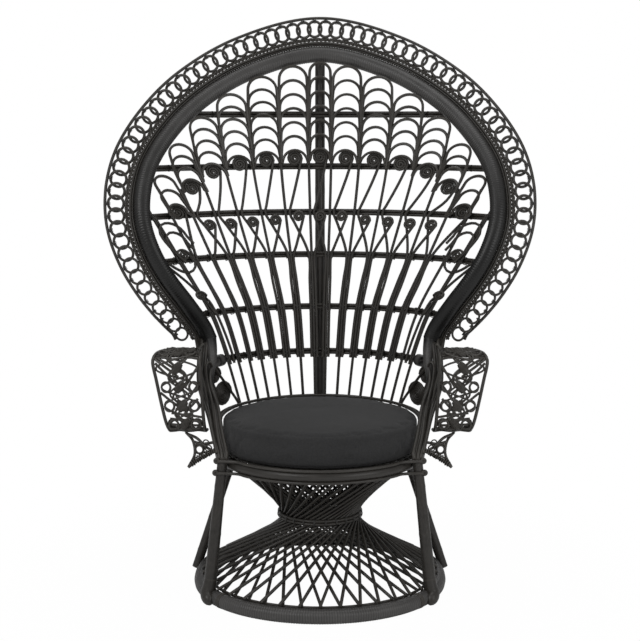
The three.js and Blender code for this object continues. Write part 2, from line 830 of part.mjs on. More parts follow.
// Every spoke carries the big scroll on its left and the small scroll on its right.
function buildSpoke(index) {
  const top = railHeights[0];
  const [, second, third, fourth, fifth, sixth] = railHeights;
  const foot = seatRingTop + gap * 2;
  const turn = (height) => spokeTurnAt(index, height);
  const aside = (height, spoke, side) => (
    spokeTurnAt(spoke, height) + (side * fineCane * 0.9) / bendAt(height)
  );
  const columns = [index - 1, index].filter((column) => columnRank(column) < scallopCounts.length);
  const reach = columns.map((column) => scallopReach(column)[1]);
  const clear = archWide / 4;
  const pathAt = (share) => onFan(turn(third), THREE.MathUtils.lerp(fourth, top, share), railLift);
  const archTop = THREE.MathUtils.lerp(fourth, top, shareToArch(pathAt, clear));
  const high = reach.length ? Math.min(Math.max(...reach), archTop) : archTop;
  const left = index - 1;
  const hasBig = left >= 2 && columnRank(left) < bigScrollHeights.length;
  const hasSmall = columnRank(index) < smallScrollHeights.length;
  const below = (low, tall) => [low, sixth, fifth, fourth, third, second]
    .filter((height, i) => (i === 0 || height > low + fineCane) && height < tall - fineCane)
    .concat(tall)
    .map((height) => [turn(height), height, 0]);
  const stub = sixth - railTall * 0.8;
  const bound = hasBig || hasSmall || index === 1;
  const solids = bound
    ? [fanCane(below(foot, stub + fineCane)), fanCane(below(fourth + fineCane, high))]
    : [fanCane(below(foot, high))];
  if (hasBig) {
    const height = scrollRows(left, bigScrollHeights);
    const edge = columnTurn(left) + (bigScroll * 0.36) / bendAt(height);
    solids.push(scrollDisc(columnTurn(left), height, bigScroll, 0));
    solids.push(fanCane([
      [edge, height, 0],
      [aside(third, left, 1.25), Math.min(third, height - bigScroll), 0],
      [aside(fourth, index, -1), fourth, 0],
    ]));
  }
  if (index === 1) {
    const height = scrollRows(index, bigScrollHeights);
    solids.push(scrollDisc(columnTurn(index), height, bigScroll, 0));
    solids.push(fanCane([[columnTurn(index), height, 0], [aside(fourth, index, 1), fourth, 0]]));
  }
  if (hasSmall) {
    const height = scrollRows(index, smallScrollHeights);
    const edge = columnTurn(index) + (smallScroll * 0.36) / bendAt(height);
    const front = scallopLift - gap * 4;
    solids.push(scrollDisc(columnTurn(index), height, smallScroll, front));
    solids.push(fanCane([
      [edge, height, front],
      [THREE.MathUtils.lerp(edge, aside(fourth, index, 1), 0.82), fourth + railTall, front],
      [aside(fourth, index, 1), fourth - railTall, 0],
    ]));
  }
  if (bound) {
    solids.push(boundStems(index, hasBig ? 1 : 0, hasSmall || index === 1 ? 1 : 0, stub));
  }
  return cut(fuse(solids), archBand(gap));
}

function spokeName(index) {
  return index < spokesPerSide ? `spoke_left_${spokesPerSide - index}` : `spoke_right_${index - spokesPerSide + 1}`;
}

function buildRail(height) {
  const clear = archWide / 4;
  const limit = 75 * degree;
  const endTurn = limit * shareToArch((share) => onFan(share * limit, height, railLift), clear);
  const inside = [];
  for (let i = 0; i < spokesPerSide * 2; i += 1) {
    const turn = spokeTurnAt(i, height);
    if (Math.abs(turn) < endTurn - 2 * degree) {
      inside.push(turn);
    }
  }
  const points = [-endTurn, ...inside, endTurn].map((turn) => onFan(turn, height, railLift));
  const rail = sweep(points, roundSection(6, railDeep, railTall), new THREE.Vector3(0, 0, 1));
  return cut(rail, archBand(gap), postBundle(gap), mirrored(postBundle(gap)));
}

function buildScallops() {
  scallopGroups.forEach(([first, last], group) => {
    const columns = Array.from({ length: last - first + 1 }, (_, i) => first + i);
    const place = (u, v, h) => {
      const column = THREE.MathUtils.clamp(Math.floor(u), first, last);
      const clear = gap / (bendAt(v) + scallopLift);
      const turn = columnTurn(column) + columnHalfTurn(column) * (u - column - 0.5) * 2;
      const low = spokeTurn(first) + clear;
      const high = spokeTurn(last + 1) - clear;
      return onFan(THREE.MathUtils.clamp(turn, low, high), v, scallopLift - h);
    };
    const panels = columns.map((column) => scallopPanel(column, columns));
    addPiece(`scallops_${group + 1}`, "cane", bentPlate(panels, place, fretCane - gap * 2));
  });
}

function buildBack() {
  railHeights.forEach((height, i) => addPiece(`rail_${i + 1}`, "pole", buildRail(height)));
  const poleFoot = seatRingHeight - seatRingThick / 2;
  const poleTop = crownHeight - archWide / 2 - gap * 2;
  const pole = [poleFoot, seatRingTop, poleTop].map((height) => onFan(0, height, poleLift));
  addPiece("centre_pole", "pole", sweep(pole, roundSection(8, poleThick)));
  for (let i = 0; i < spokesPerSide * 2; i += 1) {
    addPiece(spokeName(i), "cane", buildSpoke(i));
  }
}

// The arch and its border.

function alongBorder(count, reach) {
  return Array.from({ length: count + 1 }, (_, i) => besideArch(i / count, reach));
}

function buildArch() {
  const facing = new THREE.Vector3(0, 1, 0);
  addPiece("arch_band", "wrap", archBand());
  const braidInner = archWide / 2 + gap * 2;
  const braid = boxSection(braidOuter - braidInner, braidDeep);
  const braidMiddle = (braidOuter + braidInner) / 2;
  addPiece("arch_braid", "wrap", sweep(alongBorder(borderSteps, braidMiddle), braid, facing));
  addPiece("arch_rim", "cane", sweep(alongBorder(borderSteps, rimReach), roundSection(5, rimCane), facing));
}

// The rings of the border, joined side by side, each tied to the rim at its crest.
function buildRingBorder() {
  const line = alongBorder(borderSamples, ringReach);
  const travel = line.slice(1).reduce((sum, point, i) => sum + point.distanceTo(line[i]), 0);
  const count = Math.round(travel / ringPitch);
  const low = braidOuter + borderGap * 1.6;
  const crest = rimReach - rimCane / 2 - borderGap;
  const side = ringThick / ringPitch / 2;
  const eye = [[side, 0.5], [0.36, 0.13], [0.64, 0.13], [1 - side, 0.5], [0.5, 0.88]];
  const panels = [];
  for (let i = 0; i < count; i += 1) {
    const high = THREE.MathUtils.lerp(low, crest, 0.82);
    panels.push({
      outline: [[i, low], [i + 1, low], [i + 1, high], [i + 0.5, crest], [i, high]],
      holes: [eye.map(([u, v]) => [i + u, low + (ringReach + ringRadius - low) * v])],
    });
  }
  addPiece("ring_border", "cane", bentPlate(panels, (u, v, h) => besideArch(u / count, v, h), ringThick));
}

// The arms.

const armEdges = [0, 1].map((edge) => {
  const points = armRollShares.map((row) => besideSeat(row[edge], row[2], row[3]));
  return new THREE.CatmullRomCurve3(points, false, "centripetal");
});

// A point on the arm's panel, from its outer rail across to its inner rail.
function onArm(across, share, lift) {
  const [outer, inner] = armEdges.map((edge) => edge.getPoint(share));
  const along = armEdges[0].getTangent(share);
  const side = inner.clone().sub(outer);
  const out = side.clone().cross(along).normalize();
  const margin = (armRail / 2 + gap * 2) / side.length();
  return outer.addScaledVector(side, THREE.MathUtils.lerp(margin, 1 - margin, across)).addScaledVector(out, lift);
}

function buildArms() {
  const sideways = new THREE.Vector3(1, 0, 0);
  armEdges.forEach((edge, i) => {
    const name = i === 0 ? "arm_outer_rail" : "arm_inner_rail";
    pair(name, "cane", sweep(edge.getPoints(armRows), roundSection(6, armRail), sideways));
  });
  const wide = (armRollShares[2][0] - armRollShares[2][1]) * neckAcross;
  const stations = [0, 0.5, 1];
  const tall = 1 / armRows;
  const rim = ringThick / wide / 2;
  const panels = [];
  for (let i = 0; i < armRows; i += 1) {
    for (let k = 0; k < 2; k += 1) {
      const [left, right] = [stations[k] + rim, stations[k + 1] - rim];
      const at = (v) => (i + v) * tall;
      const middle = (left + right) / 2;
      panels.push({
        outline: [
          [stations[k], at(0)], [stations[k + 1], at(0)], [stations[k + 1], at(1)], [stations[k], at(1)],
        ],
        holes: [[[left, at(0.5)], [middle, at(0.1)], [right, at(0.5)], [middle, at(0.9)]]],
      });
    }
  }
  pair("arm_panel", "cane", bentPlate(panels, onArm, ringThick));
  const line = (rows) => cane(rows.map((row) => besideSeat(...row)), armRail);
  const lines = [tailEdgeShares, tailFootShares, tailBraceShares].map(line);
  pair("arm_tail", "cane", cut(fuse(lines), postBundle(gap)));
}

// The two wound scrolls on the inner side of each post, on the cane they hang from.
function buildSideScrolls() {
  const facing = polar(fineCane / 2, -sideScrollTurn, 0);
  const hearts = sideScrollShares.map((row) => besideSeat(...row));
  const discs = hearts.map((heart, i) => (
    sweep([heart.clone().sub(facing), heart.clone().add(facing)], roundSection(8, sideScrollSizes[i]))
  ));
  const root = postCurve.getPointAt(sideScrollRoot);
  const along = postCurve.getTangentAt(sideScrollRoot);
  const behind = new THREE.Vector3(0, 1, 0).addScaledVector(along, -along.y).normalize();
  root.addScaledVector(behind, (bundleDeep + fineCane) / 2 - gap * 3).setX(root.x + bundleWide / 2 - fineCane);
  pair("side_scroll", "cane", fuse([...discs, cane([root, ...hearts], fineCane)]));
}

buildLegs();
buildFootWraps();
buildPosts();
buildSeat();
buildBack();
buildScallops();
buildArch();
buildRingBorder();
buildArms();
buildSideScrolls();
buildCushion();
buildBase();

// The middle of the whole chair, seen from above, goes to the origin.
const middle = new THREE.Box3().setFromObject(chair).getCenter(new THREE.Vector3());
for (const mesh of chair.children) {
  mesh.geometry.translate(0, -middle.y, 0);
}

export default chair;
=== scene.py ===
"""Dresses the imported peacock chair: round canes, wound wrappings, scrolls, linked rings and a cloth cushion.

Sizes are in millimetres and become metres where a mesh is made. X runs to the right, Y to the
back and Z up, and the chair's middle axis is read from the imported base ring.
"""

import json
import logging
import math
from dataclasses import dataclass, field
from enum import Enum

import bpy
import numpy as np
from mathutils import Matrix, Vector, noise

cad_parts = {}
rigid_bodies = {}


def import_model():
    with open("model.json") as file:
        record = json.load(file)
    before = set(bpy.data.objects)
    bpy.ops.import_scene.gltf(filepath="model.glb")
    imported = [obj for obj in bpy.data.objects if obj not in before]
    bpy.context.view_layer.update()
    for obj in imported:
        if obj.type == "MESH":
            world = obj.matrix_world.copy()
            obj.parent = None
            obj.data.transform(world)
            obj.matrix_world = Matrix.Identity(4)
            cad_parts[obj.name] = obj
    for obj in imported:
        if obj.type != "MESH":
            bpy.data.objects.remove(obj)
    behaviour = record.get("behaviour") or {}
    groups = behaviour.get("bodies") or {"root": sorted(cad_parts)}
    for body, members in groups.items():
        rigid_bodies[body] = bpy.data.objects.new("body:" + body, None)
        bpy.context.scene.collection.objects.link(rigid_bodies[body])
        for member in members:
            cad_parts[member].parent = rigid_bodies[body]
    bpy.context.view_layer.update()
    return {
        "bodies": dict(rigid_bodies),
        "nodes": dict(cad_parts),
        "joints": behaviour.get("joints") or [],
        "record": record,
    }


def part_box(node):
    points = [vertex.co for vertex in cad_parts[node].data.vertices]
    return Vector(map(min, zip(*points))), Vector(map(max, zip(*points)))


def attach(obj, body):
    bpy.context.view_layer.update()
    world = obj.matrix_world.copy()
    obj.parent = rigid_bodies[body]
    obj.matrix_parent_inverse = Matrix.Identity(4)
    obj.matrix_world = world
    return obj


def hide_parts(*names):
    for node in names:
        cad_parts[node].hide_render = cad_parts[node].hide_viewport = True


LOG = logging.getLogger("peacock_chair")
MM = 0.001
CHAIR_BODY = "chair"
CUSHION_BODY = "cushion"
Line = list[Vector]
Colour = tuple[float, float, float]
Span = tuple[float, float]
Feeds = dict[str | int, object]


class Side(Enum):
    """The two sides of the chair, as seen in the photograph."""

    LEFT = -1
    RIGHT = 1

    @property
    def word(self) -> str:
        """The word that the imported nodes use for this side."""
        return self.name.lower()


class Grain(Enum):
    """How a finish's streaks lie: how far their UV is stretched, or None for object space, and their scale."""

    ALONG = ((14.0, 9.0, 1.0), 2.0)
    ALLOVER = (None, 420.0)
    WOUND = ((3.3, 2.5, 1.0), 1.0)


# Finishes.


class NodeBoard:
    """The nodes of one new material, added one by one and fed by values or by other nodes."""

    def __init__(self, name: str) -> None:
        """Makes the material.

        Args:
            name: The material's name.
        """
        self.material = bpy.data.materials.new(name)
        self.material.use_nodes = True
        self.tree = self.material.node_tree
        self.shader = self.tree.nodes["Principled BSDF"]
        self.coords = self.add("TexCoord")

    def feed(self, node: bpy.types.Node, inputs: Feeds) -> None:
        """Links or sets some inputs of a node.

        Args:
            node: The node.
            inputs: For each input, a socket to link or a value to set.
        """
        for key, value in inputs.items():
            if isinstance(value, bpy.types.NodeSocket):
                self.tree.links.new(value, node.inputs[key])
            else:
                node.inputs[key].default_value = value

    def add(self, kind: str, inputs: Feeds | None = None, **options: str) -> bpy.types.Node:
        """Adds a node.

        Args:
            kind: Its type, without the common first part.
            inputs: What feeds its inputs.
            options: Its settings.

        Returns:
            The new node.
        """
        node = self.tree.nodes.new("ShaderNode" + kind)
        for name, value in options.items():
            setattr(node, name, value)
        self.feed(node, inputs or {})
        return node

    def noise(self, inputs: Feeds) -> bpy.types.NodeSocket:
        """A cloudy value."""
        return self.add("TexNoise", inputs).outputs["Fac"]

    def sum(self, operation: str, *values: bpy.types.NodeSocket | float) -> bpy.types.NodeSocket:
        """The result of a calculation with up to three values."""
        return self.add("Math", dict(enumerate(values)), operation=operation).outputs["Value"]

    def spread(
        self, value: bpy.types.NodeSocket, to: Span, start: Span = (0.0, 1.0), **options: str,
    ) -> bpy.types.NodeSocket:
        """A value brought from one span to another."""
        spans = {"From Min": start[0], "From Max": start[1], "To Min": to[0], "To Max": to[1]}
        return self.add("MapRange", {"Value": value, **spans}, **options).outputs["Result"]

    def tint(self, value: bpy.types.NodeSocket, *stops: tuple[float, Colour]) -> bpy.types.NodeSocket:
        """A colour between two stops."""
        ramp = self.add("ValToRGB", {"Fac": value})
        for element, (position, colour) in zip(ramp.color_ramp.elements, stops):
            element.position = position
            element.color = (*colour, 1.0)
        return ramp.outputs["Color"]

    def emboss(self, height: bpy.types.NodeSocket, strength: float, depth: float) -> None:
        """Gives the shader a relief, with its depth in millimetres."""
        bump = self.add("Bump", {"Strength": strength, "Distance": depth * MM, "Height": height})
        self.feed(self.shader, {"Normal": bump.outputs["Normal"]})


@dataclass(frozen=True)
class StainedCane:
    """Black-stained cane under a satin varnish, with lighter streaks and rubbed ridges; wound cane also gets painted
    shade in its grooves and a painted highlight along each winding.
    """

    name: str
    slot: str
    dark: Colour
    light: Colour
    rubbed: Colour
    roughness: float
    relief: float
    grain: Grain

    def mix(self) -> bpy.types.Material:
        """Makes the material.

        Returns:
            The new material, with its colour, roughness and relief from nodes.
        """
        board = NodeBoard(self.name)
        board.feed(board.shader, {"IOR": 1.5, "Coat Weight": 0.12, "Coat Roughness": 0.34})
        spot = board.coords.outputs["Object"]
        blotches = board.noise({"Vector": spot, "Scale": 21.0, "Detail": 5.0})
        stretch, scale = self.grain.value
        if stretch:
            spot = board.add("Mapping", {"Vector": board.coords.outputs["UV"], "Scale": stretch}).outputs["Vector"]
        streaks = board.noise({"Vector": spot, "Scale": scale, "Detail": 4.0})
        mixed = board.sum("MULTIPLY_ADD", streaks, 0.55, board.sum("MULTIPLY", blotches, 0.45))
        base = board.tint(mixed, (0.36, self.dark), (0.68, self.light))
        ridges = board.spread(board.add("NewGeometry").outputs["Pointiness"], (0.0, 0.5), (0.51, 0.6))
        worn = board.add("Mix", {"Factor": ridges, "A": base, "B": (*self.rubbed, 1.0)}, data_type="RGBA")
        colour = worn.outputs["Result"]
        # Wound cane: painted shade in the grooves between windings and a painted highlight along their middles.
        if self.grain is Grain.WOUND:
            colour = self._paint_groove_shade(board, colour)
        gloss = board.spread(blotches, (self.roughness - 0.09, self.roughness + 0.12))
        board.feed(board.shader, {"Base Color": colour, "Roughness": gloss})
        board.emboss(streaks, 0.5, self.relief)
        return board.material

    @staticmethod
    def _paint_groove_shade(board: NodeBoard, colour: bpy.types.NodeSocket) -> bpy.types.NodeSocket:
        """Paints shade into the gaps between windings and a highlight along each winding's middle, and gives each
        winding a random tone of its own.

        Args:
            board: The material's nodes. The U of its coordinates counts the windings.
            colour: The colour so far.

        Returns:
            The colour with its painted groove shade, painted highlights and winding tones.
        """
        count = board.add("SeparateXYZ", {"Vector": board.coords.outputs["UV"]}).outputs["X"]
        number = board.sum("FLOOR", count)
        chance = board.add("TexWhiteNoise", {"W": number}, noise_dimensions="1D").outputs["Value"]
        # Painted shade and highlight: each winding is darkest at its grooves and lightest along its middle.
        strip = board.sum("PINGPONG", board.sum("FRACT", count), 0.5)
        body = board.spread(strip, (0.03, 1.0), (0.1, 0.36))
        tone = board.spread(chance, (0.3, 2.8))
        both = board.sum("MULTIPLY", body, tone)
        return board.add("VectorMath", {0: colour, "Scale": both}, operation="SCALE").outputs["Vector"]


@dataclass(frozen=True)
class WovenCloth:
    """A plain, tightly woven charcoal cloth."""

    name: str
    slot: str
    dark: Colour
    light: Colour
    thread: float

    def mix(self) -> bpy.types.Material:
        """Makes the material.

        Returns:
            The new material, with a fine weave, soft mottling and a faint sheen.
        """
        board = NodeBoard(self.name)
        board.feed(board.shader, {"Specular IOR Level": 0.22, "Sheen Weight": 0.08, "Sheen Roughness": 0.5})
        spot = board.coords.outputs["Object"]
        width = math.pi / (10.0 * self.thread * MM)
        weave = None
        for axis in ("X", "Y", "Z"):
            wave = board.add("TexWave", {"Vector": spot, "Scale": width, "Distortion": 0.6}, bands_direction=axis)
            threads = wave.outputs["Fac"]
            weave = threads if weave is None else board.sum("ADD", weave, threads)
        mottle = board.noise({"Vector": spot, "Scale": 260.0, "Detail": 6.0})
        broad = board.noise({"Vector": spot, "Scale": 7.0})
        blend = board.sum("MULTIPLY_ADD", broad, 0.4, board.sum("MULTIPLY", mottle, 0.6))
        colour = board.tint(blend, (0.35, self.dark), (0.65, self.light))
        board.feed(board.shader, {"Base Color": colour, "Roughness": board.spread(mottle, (0.86, 0.98))})
        board.emboss(weave, 0.35, 0.3)
        return board.material


@dataclass(frozen=True)
class StudioPaper:
    """The white floor of the studio. The camera sees it white, and it keeps the chair's shadow."""

    name: str
    shade: Colour
    glow: float
    near: float
    far: float

    def mix(self) -> bpy.types.Material:
        """Makes the material.

        Returns:
            The new material: paper under the lamps, and for the camera partly lit from within, fully
            so beyond the chair's shadow.
        """
        board = NodeBoard(self.name)
        spot = board.coords.outputs["Object"]
        dim = tuple(0.985 * part for part in self.shade)
        colour = board.tint(board.noise({"Vector": spot, "Scale": 3.0}), (0.0, dim), (1.0, self.shade))
        board.feed(board.shader, {"Base Color": colour, "Roughness": 0.9, "Specular IOR Level": 0.1})
        shine = board.add("Emission", {"Color": (1, 1, 1, 1), "Strength": 1.0})
        reach = board.add("VectorMath", {0: spot}, operation="LENGTH").outputs["Value"]
        fade = board.spread(reach, (self.glow, 1.0), (self.near, self.far), interpolation_type="SMOOTHSTEP")
        seen = board.sum("MULTIPLY", board.add("LightPath").outputs["Is Camera Ray"], fade)
        lights = {"Fac": seen, 1: board.shader.outputs["BSDF"], 2: shine.outputs["Emission"]}
        blend = board.add("MixShader", lights)
        board.feed(board.tree.nodes["Material Output"], {"Surface": blend.outputs["Shader"]})
        return board.material


class Finish(Enum):
    """The finishes of the chair."""

    CANE = StainedCane(
        "stained_cane", "cane", (0.0125, 0.0115, 0.0105), (0.04, 0.0365, 0.032), (0.085, 0.076, 0.064), 0.38, 0.35,
        Grain.ALONG,
    )
    POLE = StainedCane(
        "stained_pole", "pole", (0.014, 0.0125, 0.011), (0.042, 0.0375, 0.033), (0.09, 0.08, 0.067), 0.37, 0.4,
        Grain.ALONG,
    )
    WOUND = StainedCane(
        "wound_cane_painted_groove_shade", "wrap", (0.02, 0.0192, 0.0188), (0.044, 0.0425, 0.0415), (0.12, 0.115, 0.11), 0.34, 0.25,
        Grain.WOUND,
    )
    WRAP = StainedCane(
        "wound_wrap", "wrap", (0.0125, 0.0118, 0.0112), (0.032, 0.03, 0.028), (0.085, 0.08, 0.075), 0.36, 0.18,
        Grain.ALLOVER,
    )
    WEAVE = StainedCane(
        "woven_deck", "weave", (0.01, 0.0095, 0.009), (0.026, 0.024, 0.021), (0.05, 0.046, 0.04), 0.52, 0.2,
        Grain.ALLOVER,
    )
    CLOTH = WovenCloth("charcoal_cloth", "cloth", (0.036, 0.036, 0.0365), (0.052, 0.052, 0.0528), 1.1)


# Lines and places.


@dataclass
class SmoothLine:
    """A smooth line through given places, with even travel along its length."""

    nodes: Line
    steps: int = 40
    points: Line = field(default_factory=list)
    lengths: list[float] = field(default_factory=list)

    def __post_init__(self) -> None:
        """Samples the line once and measures it."""
        nodes = self.nodes
        ends = [nodes[0] * 2 - nodes[1], *nodes, nodes[-1] * 2 - nodes[-2]]
        for i in range(1, len(ends) - 2):
            self.points += self._span(ends[i - 1], ends[i], ends[i + 1], ends[i + 2])
        self.points.append(nodes[-1].copy())
        self.lengths = [0.0]
        for low, high in zip(self.points, self.points[1:]):
            self.lengths.append(self.lengths[-1] + (high - low).length)

    def _span(self, before: Vector, low: Vector, high: Vector, after: Vector) -> Line:
        """Samples the stretch between two nodes.

        Args:
            before: The node before the stretch.
            low: The node at its start.
            high: The node at its end.
            after: The node after it.

        Returns:
            The samples, without the last one.
        """
        first = max((low - before).length, 1e-6) ** 0.5
        middle = max((high - low).length, 1e-6) ** 0.5
        last = max((after - high).length, 1e-6) ** 0.5
        leave = ((low - before) / first - (high - before) / (first + middle) + (high - low) / middle) * middle
        reach = ((high - low) / middle - (after - low) / (middle + last) + (after - high) / last) * middle
        samples = []
        for k in range(self.steps):
            t = k / self.steps
            samples.append(
                low + leave * t + (high * 3 - low * 3 - leave * 2 - reach) * t**2
                + (low * 2 - high * 2 + leave + reach) * t**3
            )
        return samples

    @property
    def length(self) -> float:
        """The line's length."""
        return self.lengths[-1]

    def at(self, share: float) -> Vector:
        """The place at a share of the length."""
        target = min(max(share, 0.0), 1.0) * self.length
        i = min(max(int(np.searchsorted(self.lengths, target)) - 1, 0), len(self.points) - 2)
        span = self.lengths[i + 1] - self.lengths[i]
        return self.points[i].lerp(self.points[i + 1], (target - self.lengths[i]) / span if span else 0.0)

    def along(self, share: float) -> Vector:
        """The line's direction at a share of the length."""
        low = max(share - 0.002, 0.0)
        return (self.at(min(low + 0.004, 1.0)) - self.at(low)).normalized()

    def spaced(self, count: int) -> Line:
        """Evenly spaced places, one more than count."""
        return [self.at(i / count) for i in range(count + 1)]


def polar(radius: float, turn: float, height: float) -> Vector:
    """A place by its distance from the chair's axis, its turn and its height."""
    return Vector((radius * math.cos(turn), radius * math.sin(turn), height))


def read_off(stations: list[tuple[float, float]], height: float) -> float:
    """Reads a value between stations of (height, value).

    Args:
        stations: Pairs from the lowest height up.
        height: Where to read.

    Returns:
        The value there, held at the ends.
    """
    heights = [station[0] for station in stations]
    values = [station[1] for station in stations]
    return float(np.interp(height, heights, values))


@dataclass
class Fan:
    """The bent surface of the back. At every height it is an arc in plan, and each spoke keeps its angle."""

    seat_top: float = 364
    seat_radius: float = 262
    crown_height: float = 1393
    crown_depth: float = 330
    crown_bend: float = 680
    rail_heights: tuple[float, ...] = (1229, 1087, 961, 844, 699, 574)
    rail_bends: tuple[float, ...] = (658, 624, 559, 477, 367, 308)
    first_spoke: float = math.radians(2.8)
    spoke_step: float = math.radians(7)
    per_side: int = 8
    rail_lift: float = 10.7

    def __post_init__(self) -> None:
        """Lists the stations of the bend and of the spread."""
        middle = sorted(zip(self.rail_heights, self.rail_bends))
        self.bends = [(self.seat_top, self.seat_radius + 2), *middle, (self.crown_height, self.crown_bend)]
        r4, r5, r6 = self.rail_heights[3:]
        r1, r2, r3 = self.rail_heights[:3]
        self.spreads = [
            (self.seat_top, 0.93), (r6, 1.05), (r5, 1.025), (r4, 1.0), (r3, 1.0), (r2, 1.03), (r1, 1.075),
            (self.crown_height, 1.1),
        ]

    def bend(self, height: float) -> float:
        """The radius of the arc in plan at a height."""
        return read_off(self.bends, height)

    def at(self, turn: float, height: float, lift: float = 0.0) -> Vector:
        """A place on the fan. Lift moves it back, away from the sitter."""
        share = (height - self.seat_top) / (self.crown_height - self.seat_top)
        depth = self.seat_radius + (self.crown_depth - self.seat_radius) * share
        bend = self.bend(height)
        out = bend + lift
        return Vector((out * math.sin(turn), depth - bend + out * math.cos(turn), height))

    def spoke(self, index: int, height: float) -> float:
        """The turn of a spoke at a height. Spokes are counted from the left."""
        right = index >= self.per_side
        step = index - self.per_side if right else self.per_side - 1 - index
        turn = self.first_spoke + step * self.spoke_step
        spread = read_off(self.spreads, height)
        if height > self.rail_heights[2]:
            spread = 1 + (spread - 1) * min(step / 3, 1.3)
        return (turn if right else -turn) * spread

    def beside(self, index: int, height: float, shift: float) -> float:
        """The turn of a cane that runs beside a spoke, shifted by millimetres."""
        return self.spoke(index, height) + shift / self.bend(height)

    def column(self, column: int, height: float) -> float:
        """The turn of the middle between a spoke and the next."""
        return (self.spoke(column, height) + self.spoke(column + 1, height)) / 2

    def half_column(self, column: int, height: float) -> float:
        """Half the turn between a spoke and the next."""
        return (self.spoke(column + 1, height) - self.spoke(column, height)) / 2

    def rank(self, column: int) -> int:
        """How many columns a column stands from the middle one."""
        return abs(column - (self.per_side - 1))


@dataclass
class Arch:
    """The line of the wrapped arch, and the places beside it."""

    fan: Fan
    half_width: float = 465
    wide: float = 44
    deep: float = 34
    side: tuple[tuple[float, float], ...] = (
        (0, 1), (0.404, 0.966), (0.692, 0.908), (0.856, 0.851), (0.966, 0.788), (1, 0.731),
        (0.991, 0.681), (0.938, 0.628), (0.86, 0.579), (0.753, 0.526), (0.665, 0.478), (0.637, 0.455),
    )
    braid_outer: float = 44
    pinch: float = 0.26
    pinch_share: float = 0.2
    level_share: float = 0.06

    def __post_init__(self) -> None:
        """Lays the line through its places."""
        left = [self._node(share, tall, -1) for share, tall in self.side[:0:-1]]
        right = [self._node(share, tall, 1) for share, tall in self.side]
        self.nodes = left + right
        self.line = SmoothLine(self.nodes)
        self.length = self.line.length
        self.samples = np.array([tuple(p) for p in self.line.spaced(240)])

    def _node(self, share: float, tall: float, side: int) -> Vector:
        """A place on the arch from its shares of the half width and of the height."""
        across = self.half_width * share
        height = self.fan.crown_height * tall
        turn = math.asin(min(across / self.fan.bend(height), 0.92))
        return Vector((side * across, self.fan.at(turn, height, self.fan.rail_lift).y, height))

    def beside(self, share: float, reach: float, forward: float = 0.0) -> Vector:
        """A place beside the arch, in the upright plane that faces the front.

        Args:
            share: The share of the arch's length, from the left neck.
            reach: The distance outward from the middle of the band.
            forward: The distance towards the sitter.

        Returns:
            The place. Outside the braid the border narrows towards its ends and ends level.
        """
        middle = self.line.at(share)
        along = self.line.along(share)
        along.y = 0.0
        along.normalize()
        away = Vector((-along.z, 0.0, along.x))
        from_end = min(share, 1 - share)
        near_end = max(0.0, 1 - from_end / self.pinch_share)
        out = reach - max(0.0, reach - self.braid_outer) * self.pinch * near_end
        levelling = max(0.0, 1 - from_end / self.level_share)
        slide = (-away.z / along.z) * out * levelling if levelling > 0 else 0.0
        return middle + away * out + along * slide + Vector((0.0, -forward, 0.0))

    def away(self, share: float) -> Vector:
        """The direction outward from the arch."""
        return (self.beside(share, 60) - self.beside(share, 10)).normalized()

    def gap_to(self, point: Vector) -> float:
        """The distance from a place to the middle of the band."""
        return float(np.min(np.linalg.norm(self.samples - np.array(tuple(point)), axis=1)))


# Blender work that every sub-assembly shares.


